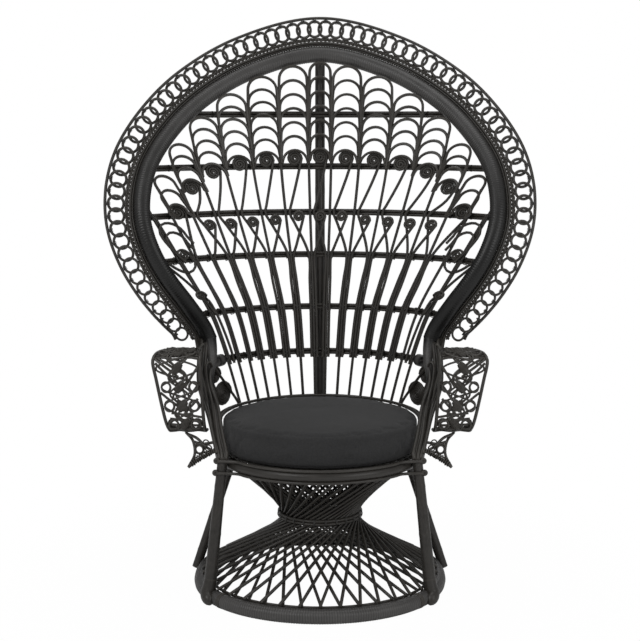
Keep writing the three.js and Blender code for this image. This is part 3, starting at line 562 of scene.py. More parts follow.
class Bench:
    """The workbench: lays canes, winds them, bends rings and hands pieces over."""

    def __init__(self, axis: float) -> None:
        """Sets the bench up.

        Args:
            axis: The Y of the chair's middle axis, in metres.
        """
        self.axis = axis
        self.materials: dict[Finish, bpy.types.Material] = {}

    def metres(self, point: Vector) -> Vector:
        """A place of the design, in metres in the frame."""
        return Vector((point.x * MM, point.y * MM + self.axis, point.z * MM))

    @staticmethod
    def clear() -> None:
        """Leaves edit mode and deselects everything."""
        if bpy.context.object is not None and bpy.context.object.mode != "OBJECT":
            bpy.ops.object.mode_set(mode="OBJECT")
        bpy.ops.object.select_all(action="DESELECT")

    @classmethod
    def pick(cls, *objects: bpy.types.Object) -> None:
        """Selects these objects alone and makes the first one active."""
        cls.clear()
        for each in objects:
            each.select_set(True)
        bpy.context.view_layer.objects.active = objects[0]

    @classmethod
    def settle(cls, piece: bpy.types.Object) -> None:
        """Bakes a piece's place into its mesh."""
        cls.pick(piece)
        bpy.ops.object.transform_apply(location=True, rotation=True, scale=True)

    @classmethod
    def join(cls, name: str, *objects: bpy.types.Object) -> bpy.types.Object:
        """Joins objects into one mesh at the origin.

        Args:
            name: The name of the result.
            *objects: What to join.

        Returns:
            The joined piece.
        """
        cls.pick(*objects)
        if len(objects) > 1:
            bpy.ops.object.join()
        piece = bpy.context.object
        cls.settle(piece)
        piece.name = name
        piece.data.name = name
        return piece

    def lay(
        self, name: str, lines: list[Line], thick: float, sides: int = 8, closed: bool = False,
        shares: list[list[float]] | None = None,
    ) -> bpy.types.Object:
        """Lays round canes along lines.

        Args:
            name: The name of the piece.
            lines: The middle line of each cane.
            thick: The thickness of the canes.
            sides: The number of sides of a cane, even and at least four.
            closed: Whether each line joins its own start.
            shares: The thickness at each point, as shares of thick.

        Returns:
            The canes as one mesh, with streaks of its own along them.
        """
        curve = bpy.data.curves.new(name, "CURVE")
        curve.dimensions = "3D"
        curve.bevel_depth = thick / 2 * MM
        curve.bevel_resolution = (sides - 4) // 2
        curve.use_fill_caps = True
        for n, line in enumerate(lines):
            spline = curve.splines.new("POLY")
            spline.points.add(len(line) - 1)
            flat = [part for point in line for part in (*self.metres(point), 1.0)]
            spline.points.foreach_set("co", flat)
            if shares is not None:
                spline.points.foreach_set("radius", shares[n])
            spline.use_cyclic_u = closed
        piece = bpy.data.objects.new(name, curve)
        bpy.context.scene.collection.objects.link(piece)
        self.pick(piece)
        bpy.ops.object.convert(target="MESH")
        piece = bpy.context.object
        bpy.ops.object.mode_set(mode="EDIT")
        bpy.ops.mesh.select_all(action="SELECT")
        bpy.ops.mesh.remove_doubles(threshold=1e-6)
        bpy.ops.object.mode_set(mode="OBJECT")
        self._grain(piece.data, lines, sides)
        bpy.ops.object.shade_smooth_by_angle(angle=math.radians(58))
        return piece

    @staticmethod
    def _grain(mesh: bpy.types.Mesh, lines: list[Line], sides: int) -> None:
        """Gives laid canes a UV map that runs along and round each of them."""
        along = []
        for n, line in enumerate(lines):
            travel = n * 0.37
            along.append(travel)
            for low, high in zip(line, line[1:]):
                travel += (high - low).length * MM
                along.append(travel)
        count = len(along) * sides
        if len(mesh.vertices) != count:
            LOG.warning("%s has %d corners instead of %d, so it gets no grain", mesh.name, len(mesh.vertices), count)
            return
        corners = np.zeros(len(mesh.loops), dtype=np.int32)
        mesh.loops.foreach_get("vertex_index", corners)
        starts = np.zeros(len(mesh.polygons), dtype=np.int32)
        mesh.polygons.foreach_get("loop_start", starts)
        totals = np.zeros(len(mesh.polygons), dtype=np.int32)
        mesh.polygons.foreach_get("loop_total", totals)
        round_step = corners % sides
        crossing = np.maximum.reduceat(round_step, starts) - np.minimum.reduceat(round_step, starts) > sides / 2
        wraps = np.repeat(crossing & (totals == 4), totals) & (round_step == 0)
        places = np.empty((len(corners), 2), dtype=np.float32)
        places[:, 0] = np.array(along)[corners // sides] * 4
        places[:, 1] = np.where(wraps, sides, round_step) / sides
        mesh.uv_layers.new(name="grain").data.foreach_set("uv", places.ravel())

    def wind(self, piece: bpy.types.Object, sides: int, depth: float, every: int = 3) -> None:
        """Sinks the grooves between the windings of a wrapped piece.

        Args:
            piece: A laid piece whose rows run in threes: a groove, then the two edges of a strip.
            sides: The number of sides of the piece.
            depth: The depth of a groove.
            every: The number of rows to a winding.
        """
        mesh = piece.data
        marks = (np.arange(len(mesh.vertices)) // sides) % every == 0
        self.pick(piece)
        bpy.ops.object.mode_set(mode="EDIT")
        bpy.ops.mesh.select_mode(type="VERT")
        bpy.ops.mesh.select_all(action="DESELECT")
        bpy.ops.object.mode_set(mode="OBJECT")
        mesh.vertices.foreach_set("select", marks)
        bpy.ops.object.mode_set(mode="EDIT")
        bpy.ops.transform.shrink_fatten(value=-depth * MM)
        bpy.ops.object.mode_set(mode="OBJECT")

    def wrapped(
        self, name: str, line: SmoothLine, thick: float, pitch: float, sides: int = 16, depth: float = 0.9,
        closed: bool = False, taper: float = 1.0,
    ) -> bpy.types.Object:
        """Lays a pole that is closely wound with flat cane.

        Args:
            name: The name of the piece.
            line: Its middle line.
            thick: Its thickness over the winding.
            pitch: The width of a winding.
            sides: The number of its sides.
            depth: The depth of the grooves.
            closed: Whether the line joins its own start.
            taper: Its thickness at the far end, as a share of thick.

        Returns:
            The wound piece.
        """
        count = max(2, round(line.length / pitch))
        points = []
        for i in range(count):
            points += [line.at((i + share) / count) for share in (0.0, 0.2, 0.8)]
        if not closed:
            points.append(line.at(1.0))
        shares = [[1 - (1 - taper) * i / (len(points) - 1) for i in range(len(points))]]
        piece = self.lay(name, [points], thick, sides, closed, shares)
        mesh = piece.data
        corners = np.zeros(len(mesh.loops), dtype=np.int32)
        mesh.loops.foreach_get("vertex_index", corners)
        rows = corners // sides
        if "grain" in mesh.uv_layers:
            layer = mesh.uv_layers["grain"].data
            flat = np.empty(len(corners) * 2, dtype=np.float32)
            layer.foreach_get("uv", flat)
            flat[0::2] = rows // 3 + np.array((0.0, 0.2, 0.8))[rows % 3]
            layer.foreach_set("uv", flat)
        self.wind(piece, sides, depth)
        return piece

    def ring(self, thick: float, radius: float = 1.0, segments: int = 20, sides: int = 6) -> bpy.types.Object:
        """Models one ring of cane, as a pattern for copies.

        Args:
            thick: The thickness of the cane.
            radius: The radius of its middle line.
            segments: The number of steps round it.
            sides: The number of sides of the cane.

        Returns:
            The ring, flat round the origin.
        """
        self.clear()
        bpy.ops.mesh.primitive_torus_add(
            major_radius=radius * MM, minor_radius=thick / 2 * MM, major_segments=segments, minor_segments=sides,
        )
        bpy.ops.object.shade_smooth()
        return bpy.context.object

    def place(
        self, centre: Vector, side: Vector, up: Vector, wide: float = 1.0, tall: float = 1.0, through: float = 1.0,
    ) -> Matrix:
        """Where a copy goes: its middle, the directions of its two flat axes, and its stretch."""
        x = side.normalized()
        z = x.cross(up).normalized()
        y = z.cross(x)
        middle = self.metres(centre)
        columns = (x * wide, y * tall, z * through, middle)
        rows = [[column[i] for column in columns] for i in range(3)]
        return Matrix((*rows, (0.0, 0.0, 0.0, 1.0)))

    def repeat(self, name: str, pattern: bpy.types.Object, places: list[Matrix]) -> bpy.types.Object:
        """Copies a modelled piece to each place, each copy with its own mesh, and joins the copies.

        Args:
            name: The name of the result.
            pattern: The piece to copy, which is used up.
            places: Where the copies go.

        Returns:
            The joined copies.
        """
        copies = []
        for where in places:
            copy = pattern.copy()
            copy.data = pattern.data.copy()
            bpy.context.scene.collection.objects.link(copy)
            copy.data.transform(where)
            if where.determinant() < 0:
                copy.data.flip_normals()
            copy.matrix_world = Matrix.Identity(4)
            copies.append(copy)
        bpy.data.objects.remove(pattern)
        return self.join(name, *copies)

    def hand_over(
        self, piece: bpy.types.Object, finish: Finish, *nodes: str, body: str = CHAIR_BODY,
    ) -> bpy.types.Object:
        """Gives a piece its finish and its body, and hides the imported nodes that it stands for.

        Args:
            piece: The finished mesh.
            finish: Its finish.
            *nodes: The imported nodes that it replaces.
            body: The body that it rides on.

        Returns:
            The piece.
        """
        if finish not in self.materials:
            self.materials[finish] = finish.value.mix()
        piece.data.materials.clear()
        piece.data.materials.append(self.materials[finish])
        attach(piece, body)
        if nodes:
            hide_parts(*nodes)
        LOG.info("%s: %d faces, %s", piece.name, len(piece.data.polygons), finish.value.name)
        return piece


def mirrored(lines: list[Line]) -> list[Line]:
    """The same lines on the other side of the chair."""
    return [[Vector((-p.x, p.y, p.z)) for p in line] for line in lines]


def on_side(lines: list[Line], side: Side) -> list[Line]:
    """Lines drawn for the left side, on the side that is asked for."""
    return lines if side is Side.LEFT else mirrored(lines)


def curl(size: float, thick: float, packed: float = 0.84, steps: int = 15) -> list[tuple[float, float]]:
    """A flat scroll, wound clockwise from its heart to its right hand edge.

    Args:
        size: Its outer diameter.
        thick: The thickness of its cane.
        packed: The distance from turn to turn, as a share of the cane's thickness.
        steps: The steps to a turn.

    Returns:
        Places across and up from its heart.
    """
    outer = (size - thick) / 2
    inner = thick * 0.16
    turns = (outer - inner) / (thick * packed)
    count = round(turns * steps)
    places = []
    for i in range(count + 1):
        share = i / count
        angle = math.tau * turns * (1 - share)
        reach = inner + (outer - inner) * share
        places.append((reach * math.cos(angle), reach * math.sin(angle)))
    return places


# Sub-assemblies.


@dataclass
class HourglassBase:
    """The wrapped ring on the floor, the two crossing families of canes and the hoop at the waist."""

    ring_radius: float = 326
    flat_side: float = 13
    ring_thick: float = 38
    ring_winding: float = 6.2
    waist_height: float = 190
    waist_radius: float = 107
    hoop_cane: float = 8
    canes: int = 40
    cane_thick: float = 8.4
    inner_reach: tuple[float, float, float] = (13, 11, 14)
    top_radius: float = 256
    top_height: float = 351.9
    waist_pinch: float = 0.76
    top_share: float = 0.87

    def build(self, bench: Bench) -> None:
        """Builds the base.

        Args:
            bench: The workbench.
        """
        turns = [math.pi / 2 + math.tau * i / 200 for i in range(201)]
        circle = [polar(self.ring_radius - self.drawn_in(turn), turn, self.ring_thick / 2) for turn in turns]
        ring = bench.wrapped(
            "wound_base_ring", SmoothLine(circle, 6), self.ring_thick, self.ring_winding, 16, 0.95, closed=True,
        )
        bench.hand_over(ring, Finish.WOUND, "base_ring")
        self._family(bench, "outer", 1, (0, 0, 0), 1.0)
        self._family(bench, "inner", -1, self.inner_reach, 0.93)
        self._waist(bench)
        self._nailed_ends(bench)

    def drawn_in(self, turn: float) -> float:
        """How far the floor ring is drawn in at a turn. It is a little flat by its sides."""
        return self.flat_side * math.cos(turn) ** 8

    def _ends(
        self, way: int, reach: tuple[float, float, float], twist: float,
    ) -> tuple[float, float, float, float, float]:
        """The radii at the ring, the waist and the seat, and the turns from the waist to both ends."""
        low = self.ring_radius - self.hoop_cane / 2 - reach[0]
        waist = self.waist_radius - self.hoop_cane - reach[1]
        top = self.top_radius - reach[2]
        top_turn = way * math.acos(waist / top) * self.top_share
        return low, waist, top, way * math.acos(waist / low) * twist, top_turn

    def _family(self, bench: Bench, word: str, way: int, reach: tuple[float, float, float], twist: float) -> None:
        """Lays one family of canes.

        Args:
            bench: The workbench.
            word: The family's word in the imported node's name.
            way: Which way it turns on its way up.
            reach: How far inside the outer family it runs at the ring, the waist and the seat.
            twist: Its share of the full turn below the waist.
        """
        low, waist, top, low_turn, top_turn = self._ends(way, reach, twist)
        lines = []
        shares = []
        for i in range(self.canes):
            start = math.tau * i / self.canes + (0.5 * math.tau / self.canes if way < 0 else 0)
            turn = start - low_turn
            foot = polar(low - self.drawn_in(turn), turn, self.ring_thick + 2 - reach[0] * 0.55)
            middle = polar(waist, start, self.waist_height)
            head = polar(top, start + top_turn, self.top_height)
            nodes = [foot, foot.lerp(middle, 0.45), foot.lerp(middle, 0.9), middle.lerp(head, 0.14),
                     middle.lerp(head, 0.55), head]
            line = SmoothLine(nodes, 8).spaced(18)
            lines.append(line)
            shares.append([
                1 - (1 - self.waist_pinch) * max(0.0, 1 - abs(p.z - self.waist_height) / 70) for p in line
            ])
        canes = bench.lay(f"round_base_canes_{word}", lines, self.cane_thick, 8, shares=shares)
        bench.hand_over(canes, Finish.CANE, f"base_canes_{word}")

    def _waist(self, bench: Bench) -> None:
        """Lays the two thin hoops of the waist and their small bindings."""
        hoops = []
        for rise in (-4.1, 4.1):
            circle = [polar(self.waist_radius, math.tau * i / 72, self.waist_height + rise) for i in range(72)]
            hoops.append(circle)
        piece = bench.lay("waist_hoops", hoops, self.hoop_cane, 8, closed=True)
        bench.hand_over(piece, Finish.CANE, "waist_hoop")
        pattern = bench.ring(2.2, 6.2, 14, 5)
        places = []
        for i in range(24):
            turn = math.tau * (i + 0.5) / 24
            for shift in (-1.2, 1.2):
                centre = polar(self.waist_radius, turn + shift / self.waist_radius, self.waist_height)
                places.append(bench.place(centre, polar(1, turn, 0), Vector((0, 0, 1)), 0.85, 1.4))
        bindings = bench.repeat("waist_bindings", pattern, places)
        bench.hand_over(bindings, Finish.WRAP)

    def _nailed_ends(self, bench: Bench) -> None:
        """Lays the thin hoop that covers the canes' ends inside the floor ring."""
        radius = self.ring_radius - self.ring_thick / 2 - 1
        turns = [math.tau * i / 96 for i in range(96)]
        circle = [polar(radius - self.drawn_in(turn), turn, self.ring_thick - 4) for turn in turns]
        hoop = bench.lay("base_inner_hoop", [circle], 7.5, 8, closed=True)
        bench.hand_over(hoop, Finish.CANE)


@dataclass
class SeatFrame:
    """The seat's pole ring, its two thin binding hoops, the wraps under the spokes and the woven deck."""

    radius: float = 262
    height: float = 351
    thick: float = 26
    hoop_cane: float = 8
    leg_thick: float = 25
    knob_cane: float = 8.5
    knob_radius: float = 4.4
    back_hoop_cane: float = 8.6
    hoop_reach: float = math.radians(93)
    leg_turn: float = math.radians(31)
    foot_turn: float = math.radians(32.3)
    base_radius: float = 331
    deck_radius: float = 246
    deck_height: float = 362.2
    weaver: float = 3.6
    stakes: int = 48
    hoop_height: float = 452

    @property
    def leg_top(self) -> Vector:
        """The top of the left front leg."""
        reach = self.radius + (self.thick + self.leg_thick) / 2 - 1.5
        return polar(reach, -math.pi + self.leg_turn, self.height + self.thick / 2 + self.hoop_cane)

    @property
    def leg_foot(self) -> Vector:
        """The foot of the left front leg."""
        return polar(self.base_radius, -math.pi + self.foot_turn, 39.8)

    def build(self, bench: Bench, fan: Fan) -> None:
        """Builds the seat's frame and deck.

        Args:
            bench: The workbench.
            fan: The fan, for the places of the spokes' feet.
        """
        circle = [polar(self.radius, math.tau * i / 120, self.height) for i in range(120)]
        bench.hand_over(bench.lay("seat_ring_pole", [circle], self.thick, 16, closed=True), Finish.POLE, "seat_ring")
        rise = self.thick / 2 + self.hoop_cane / 4
        for word, height in (("upper", self.height + rise), ("lower", self.height - rise)):
            line = self._binder(height)
            binder = bench.lay(f"seat_binder_{word}_cane", [line], self.hoop_cane, 8)
            knob = bench.ring(self.knob_cane, self.knob_radius, 16, 8)
            out = abs(line[4].x) + 1.5
            ends = [
                bench.place(Vector((way * out, line[4].y, height)), Vector((1, 0, 0)), Vector((0, 0, 1)))
                for way in (-1, 1)
            ]
            binder = bench.join(f"seat_binder_{word}_cane", binder, bench.repeat("binder_knobs", knob, ends))
            bench.hand_over(binder, Finish.CANE, f"seat_binder_{word}")
        self._foot_wraps(bench, fan)
        self._back_hoop(bench)
        self._deck(bench)

    def _binder(self, height: float) -> Line:
        """A thin cane that runs round the front of the ring and hooks round both front legs."""
        share = (height - self.leg_foot.z) / (self.leg_top.z - self.leg_foot.z)
        middle = self.leg_foot.lerp(self.leg_top, share)
        hook = (self.leg_thick + self.hoop_cane) / 2 - 0.5
        nodes = [
            Vector((middle.x + hook * math.cos(turn * math.pi), middle.y + hook * math.sin(turn * math.pi), height))
            for turn in (-1.25, -1.05, -0.9, -0.75, -0.6, -0.48)
        ]
        reach = self.radius + self.thick / 4 + 1.2
        first = -math.pi + self.leg_turn + math.radians(9)
        front = [polar(reach, first + (-math.pi - 2 * first) * i / 16, height) for i in range(17)]
        ends = [Vector((-p.x, p.y, p.z)) for p in reversed(nodes)]
        return SmoothLine([*nodes, *front, *ends], 6).spaced(110)

    def _back_hoop(self, bench: Bench) -> None:
        """Lays the cane that runs along the spokes behind the cushion, and its thicker ends by the posts."""
        line = []
        shares = []
        for i in range(61):
            turn = self.hoop_reach * (i / 30 - 1)
            side = abs(i / 30 - 1)
            height = self.hoop_height - 9 * side**2
            place = polar(self.radius + 1, math.pi / 2 - turn, height)
            line.append(place)
            shares.append(1 + 0.9 * max(0.0, side - 0.55) / 0.45)
        hoop = bench.lay("seat_back_hoop", [line], self.back_hoop_cane, 8, shares=[shares])
        bench.hand_over(hoop, Finish.CANE)

    def _foot_wraps(self, bench: Bench, fan: Fan) -> None:
        """Winds thin cane round the ring at every spoke's foot."""
        pattern = bench.ring(2.6, 14.0, 18, 5)
        places = []
        for index in range(fan.per_side * 2):
            turn = math.pi / 2 - fan.spoke(index, fan.seat_top)
            for shift in (-3.2, 0.0, 3.2):
                at = turn + shift / self.radius
                places.append(bench.place(polar(self.radius, at, self.height), polar(1, at, 0), Vector((0, 0, 1))))
        bench.hand_over(bench.repeat("spoke_foot_wraps", pattern, places), Finish.WRAP)

    def _deck(self, bench: Bench) -> None:
        """Weaves the deck from stakes and weavers that pass over and under them."""
        weavers = []
        step = self.weaver * 1.3
        count = int((self.deck_radius - 24) / step)
        for n in range(count):
            reach = self.deck_radius - self.weaver / 2 - n * step
            over = 1 if n % 2 else -1
            steps = self.stakes * 2
            weavers.append([
                polar(reach, math.tau * i / steps, self.deck_height + over * 1.15 * math.cos(math.pi * i))
                for i in range(steps)
            ])
        rings = bench.lay("deck_weavers", weavers, self.weaver * 0.9, 4, closed=True)
        spokes = [
            [polar(12, math.tau * (i + 0.5) / self.stakes, self.deck_height),
             polar(self.deck_radius, math.tau * (i + 0.5) / self.stakes, self.deck_height)]
            for i in range(self.stakes)
        ]
        stakes = bench.lay("deck_stakes", spokes, 3.2, 6)
        hub = [polar(12, math.tau * i / 24, self.deck_height) for i in range(24)]
        heart = bench.lay("deck_hub", [hub], 5.6, 6, closed=True)
        deck = bench.join("woven_seat_deck", rings, stakes, heart)
        bench.hand_over(deck, Finish.WEAVE, "seat_deck")


@dataclass
class Legs:
    """The four poles between the seat and the floor, with their knuckles and boot-like wraps."""

    seat: SeatFrame
    thick: float = 25
    knuckles: tuple[float, ...] = (0.22, 0.58, 0.86)
    rear_turn: float = math.radians(30)
    rear_foot_turn: float = math.radians(18.5)
    rear_foot_radius: float = 357
    front_spread: float = 1.32
    toe_radius: float = 348
    toe_turn: float = math.radians(37.2)

    def build(self, bench: Bench) -> None:
        """Builds the legs and the foot wraps.

        Args:
            bench: The workbench.
        """
        seat = self.seat
        rear_top = polar(seat.radius, math.pi - self.rear_turn, seat.height - seat.thick / 2 - 2)
        rear_foot = polar(self.rear_foot_radius, math.pi - self.rear_foot_turn, 0)
        slant = (rear_foot - rear_top).normalized()
        rear_foot -= slant * (self.thick / 2 * 0.26)
        for side in Side:
            front = self._pole(bench, f"front_pole_{side.word}", seat.leg_top, seat.leg_foot, side, self.front_spread)
            bench.hand_over(front, Finish.POLE, f"front_leg_{side.word}")
            rear = self._pole(bench, f"rear_pole_{side.word}", rear_top, rear_foot, side)
            bench.hand_over(rear, Finish.POLE, f"rear_leg_{side.word}")
            self._boot(bench, side)

    def _pole(
        self, bench: Bench, name: str, top: Vector, foot: Vector, side: Side, spread: float = 1.0,
    ) -> bpy.types.Object:
        """Lays a pole that swells a little at its knuckles.

        Args:
            bench: The workbench.
            name: The name of the piece.
            top: Its upper end on the left side.
            foot: Its lower end on the left side.
            side: The side of the chair.
            spread: Its thickness at the foot, as a share of the thickness at the top.

        Returns:
            The pole.
        """
        count = 90
        line = [top.lerp(foot, i / count) for i in range(count + 1)]
        shares = []
        for i in range(count + 1):
            swell = sum(math.exp(-(((i / count - knuckle) * count / 1.3) ** 2)) for knuckle in self.knuckles)
            shares.append((1 + 0.04 * swell) * (1 + (spread - 1) * i / count))
        return bench.lay(name, on_side([line], side), self.thick, 16, shares=[shares])

    def _boot(self, bench: Bench, side: Side) -> None:
        """Wraps the foot of a front leg down over the outer side of the floor ring."""
        seat = self.seat
        turn = -math.pi + seat.foot_turn
        slant = (seat.leg_foot - seat.leg_top).normalized()
        out = polar(1, turn, 0)
        floor = Vector((0, 0, seat.leg_foot.z))
        toe = polar(self.toe_radius, -math.pi + self.toe_turn, 10.5)
        ankle = seat.leg_foot - floor * 0.3 + out * 6
        shin = [seat.leg_foot - slant * 26, seat.leg_foot - slant * 4 + out]
        heel = SmoothLine([*shin, ankle, ankle.lerp(toe, 0.55), toe])
        rows = [heel.at(i / 24) for i in range(25)]
        grow = []
        for i in range(25):
            share = i / 24
            swell = 1.0 + 0.12 * math.sin(math.pi * min(1.0, share * 0.9))
            grow.append(swell * math.sqrt(max(0.12, 1 - max(0.0, (share - 0.62) / 0.38) ** 2.6)))
        cap = bench.lay("boot_cap", [rows], self.thick * self.front_spread * 0.99, 18, shares=[grow])
        strip = bench.ring(5.0, 18.6, 26, 6)
        places = []
        for i in range(3):
            at = turn + math.radians(8.2 + 0.75 * i)
            centre = polar(seat.base_radius - 7, at, 19.4)
            places.append(bench.place(centre, polar(1, at, 0), Vector((0, 0, 1)), 1.03, 0.93))
        boot = bench.join(f"boot_wrap_{side.word}", cap, bench.repeat("boot_strip", strip, places))
        if side is Side.RIGHT:
            self._mirror(boot)
        bench.hand_over(boot, Finish.POLE, f"foot_wrap_{side.word}")

    @staticmethod
    def _mirror(piece: bpy.types.Object) -> None:
        """Mirrors a piece to the other side and turns its faces out again."""
        Bench.pick(piece)
        bpy.ops.transform.mirror(constraint_axis=(True, False, False), center_override=(0, 0, 0))
        Bench.settle(piece)
        bpy.ops.object.mode_set(mode="EDIT")
        bpy.ops.mesh.select_all(action="SELECT")
        bpy.ops.mesh.normals_make_consistent(inside=False)
        bpy.ops.object.mode_set(mode="OBJECT")


@dataclass
class FanBack:
    """The rails, spokes, scrolls and scallops of the back, and the pole behind them."""

    fan: Fan
    arch: Arch
    cane: float = 7.9
    fret: float = 8.2
    rail_cane: float = 8.8
    pole_thick: float = 27
    pole_lift: float = 24.4
    pole_knuckles: tuple[float, ...] = (0.18, 0.43, 0.66, 0.87)
    steepest: float = 0.58
    rail_gap: float = 4.35
    block_turn: float = math.radians(62.5)
    block_thick: float = 33
    near_arch: float = 4.0
    side_scroll_size: float = 38
    low_scroll_size: float = 33
    big_scroll: float = 47
    small_scroll: float = 37
    bow_inset: float = 4.0
    big_heights: tuple[float, ...] = (1113, 1109, 1104, 1094, 1074, 1033, 969)
    big_shifts: tuple[float, ...] = (0, 1, 1, -2, 0, 4, 13)
    bow_shifts: tuple[float, ...] = (0, 0, 0, 0, 1, 4, 14)
    small_heights: tuple[float, ...] = (950, 950, 940, 936, 933, 932)
    scallop_counts: tuple[int, ...] = (7, 7, 7, 6, 5, 4, 3)
    over_scroll: float = 27
    side_scroll: tuple[float, float] = (math.radians(49.3), 859)
    side_loop: tuple[tuple[float, float], ...] = (
        (math.radians(45.9), 836), (math.radians(47.6), 820), (math.radians(51.4), 812), (math.radians(54.8), 822),
        (math.radians(57.5), 842),
    )
    side_bows: tuple[tuple[float, float, float], ...] = ((945, 34, 30), (920, 27, 23))
    low_scroll: tuple[float, float] = (math.radians(54.5), 751)
    low_stem: tuple[tuple[float, float], ...] = (
        (math.radians(51.3), 744), (math.radians(50.4), 733), (math.radians(50.6), 695), (math.radians(50.2), 644),
        (math.radians(50.6), 593), (math.radians(51), 562),
    )
    low_link: tuple[tuple[float, float], ...] = (
        (math.radians(60), 842), (math.radians(54.5), 779), (math.radians(52), 730), (math.radians(51.2), 700),
    )
    groups: tuple[tuple[int, int], ...] = ((1, 2), (3, 5), (6, 8), (9, 11), (12, 13))

    @property
    def stub(self) -> float:
        """The height of the stems' cut ends, just below the lowest rail."""
        return self.fan.rail_heights[5] - 15

    def build(self, bench: Bench) -> None:
        """Builds the back.

        Args:
            bench: The workbench.
        """
        self._rails(bench)
        self._pole(bench)
        for index in range(self.fan.per_side * 2):
            self._spoke(bench, index)
        self._scallops(bench)
        self._side_curls(bench)
        self._crossings(bench)

    def _end_turn(self, height: float, clear: float) -> float:
        """The turn at which a rail meets the arch."""
        step = math.radians(0.2)
        turn = 0.0
        limit = math.radians(75)
        while turn < limit and self.arch.gap_to(self.fan.at(turn, height, self.fan.rail_lift)) > clear:
            turn += step
        return turn

    def _rails(self, bench: Bench) -> None:
        """Lays each rail as two round canes, one over the other."""
        for n, height in enumerate(self.fan.rail_heights):
            end = self._end_turn(height, 12)
            lines = []
            for rise in (-self.rail_gap, self.rail_gap):
                lines.append([
                    self.fan.at(-end + 2 * end * i / 72, height, self.fan.rail_lift) + Vector((0, 0, rise))
                    for i in range(73)
                ])
            rail = bench.lay(f"rail_canes_{n + 1}", lines, self.rail_cane, 8)
            bench.hand_over(rail, Finish.POLE, f"rail_{n + 1}")
        blocks = []
        low = self.fan.rail_heights[5] - 1
        for side in Side:
            line = SmoothLine([
                self.fan.at(side.value * (self.block_turn - share), low, self.fan.rail_lift - 2)
                for share in (0.0, 0.05, 0.1)
            ])
            blocks.append(bench.wrapped(f"block_{side.word}", line, self.block_thick, 5.0, 14, 0.8))
        bench.hand_over(bench.join("lowest_rail_wraps", *blocks), Finish.WOUND)

    def _pole(self, bench: Bench) -> None:
        """Lays the upright pole behind the fan, with its knuckles."""
        top = self.fan.crown_height - self.arch.wide / 2 - 1
        nodes = [self.fan.at(0, height, self.pole_lift) for height in (338, self.fan.seat_top, 700, 1050, top)]
        line = SmoothLine(nodes).spaced(160)
        shares = []
        for i in range(161):
            swell = sum(math.exp(-((i - knuckle * 160) / 1.2) ** 2) for knuckle in self.pole_knuckles)
            shares.append(1 + 0.02 * swell)
        pole = bench.lay("centre_pole_round", [line], self.pole_thick, 16, shares=[shares])
        bench.hand_over(pole, Finish.POLE, "centre_pole")

    def _curl(self, turn: float, height: float, size: float, lift: float, flip: int = 1) -> Line:
        """A scroll that lies on the fan, from its heart to its outer end, drawn out where the fan turns away."""
        reach = self.fan.bend(height) * max(math.cos(turn), self.steepest)
        return [self.fan.at(turn + flip * u / reach, height + v, lift) for u, v in curl(size, self.cane)]

    def _big_turn(self, column: int) -> float:
        """The turn of a column's big scroll, which leans outward by the sides."""
        rank = self.fan.rank(column)
        outward = 1 if column >= self.fan.per_side else -1
        height = self.big_heights[rank]
        return self.fan.column(column, height) + outward * self.big_shifts[rank] / self.fan.bend(height)

    def _run(self, places: list[tuple[float, float, float]], lead: Line | None = None) -> Line:
        """A cane through places of turn, height and lift, after an optional lead of points."""
        nodes = [self.fan.at(*place) for place in places]
        start = lead or []
        joined = SmoothLine([*start[-1:], *nodes], 12)
        count = max(8, round(joined.length / 14))
        return [*start[:-1], *joined.spaced(count)] if start else joined.spaced(count)

    def _below(self, index: int, shift: float, lift: float = 0.0) -> list[tuple[float, float, float]]:
        """The places of a stem beside its spoke, from the fourth rail to its cut end."""
        heights = [*self.fan.rail_heights[3:], self.stub]
        heights.insert(1, (heights[0] + heights[1]) / 2)
        return [(self.fan.beside(index, height, shift), height, lift) for height in heights]

    def _spoke(self, bench: Bench, index: int) -> None:
        """Lays a spoke with the stems and scrolls that are bound to it.

        Args:
            bench: The workbench.
            index: The spoke, counted from the left.
        """
        fan = self.fan
        columns = [column for column in (index - 1, index) if fan.rank(column) < len(self.scallop_counts)]
        reach = [self._tops(column)[0] - self._rise(column) - self.fret * 2 for column in columns]
        high = min([*reach, self._arch_height(index)])
        heights = [fan.seat_top + 0.5, *[h for h in reversed(fan.rail_heights) if h < high - 8], high]
        spoke = SmoothLine([fan.at(fan.spoke(index, h), h) for h in heights], 14).spaced(54)
        lines = [spoke]
        left = index - 1
        third, fourth = fan.rail_heights[2:4]
        side = self.cane * 0.97
        if left >= 2 and fan.rank(left) < len(self.big_heights):
            height = self.big_heights[fan.rank(left)]
            middle = self._big_turn(left)
            scroll = self._curl(middle, height, self.big_scroll, -1.0)
            last = left == 2 * fan.per_side - 3
            stem = self._below(left, side) if last else self._crossing_stem(index, side)
            lines.append(self._run(stem, scroll))
        if index in (0, 2 * fan.per_side - 1):
            inward = side if index == 0 else -side
            lines.append(self._run([(fan.beside(index, third, inward), third, 0.0), *self._below(index, inward)]))
        if index == 1:
            height = self.big_heights[fan.rank(index)]
            scroll = self._curl(self._big_turn(index), height, self.big_scroll, -1.0)
            lines.append(self._run(self._below(index, side), scroll))
        if fan.rank(index) < len(self.small_heights):
            height = self.small_heights[fan.rank(index)]
            front = -self.cane - 1.8
            middle = fan.column(index, height)
            scroll = self._curl(middle, height, self.small_scroll, front)
            edge = middle + self.small_scroll * 0.36 / fan.bend(height)
            turn = edge + (fan.beside(index, fourth, side) - edge) * 0.8
            lines.append(self._run([(turn, fourth + 18, front + 1.5), *self._below(index, side, -0.8)], scroll))
        name = f"left_{fan.per_side - index}" if index < fan.per_side else f"right_{index - fan.per_side + 1}"
        piece = bench.lay(f"spoke_canes_{name}", lines, self.cane, 8)
        bench.hand_over(piece, Finish.CANE, f"spoke_{name}")

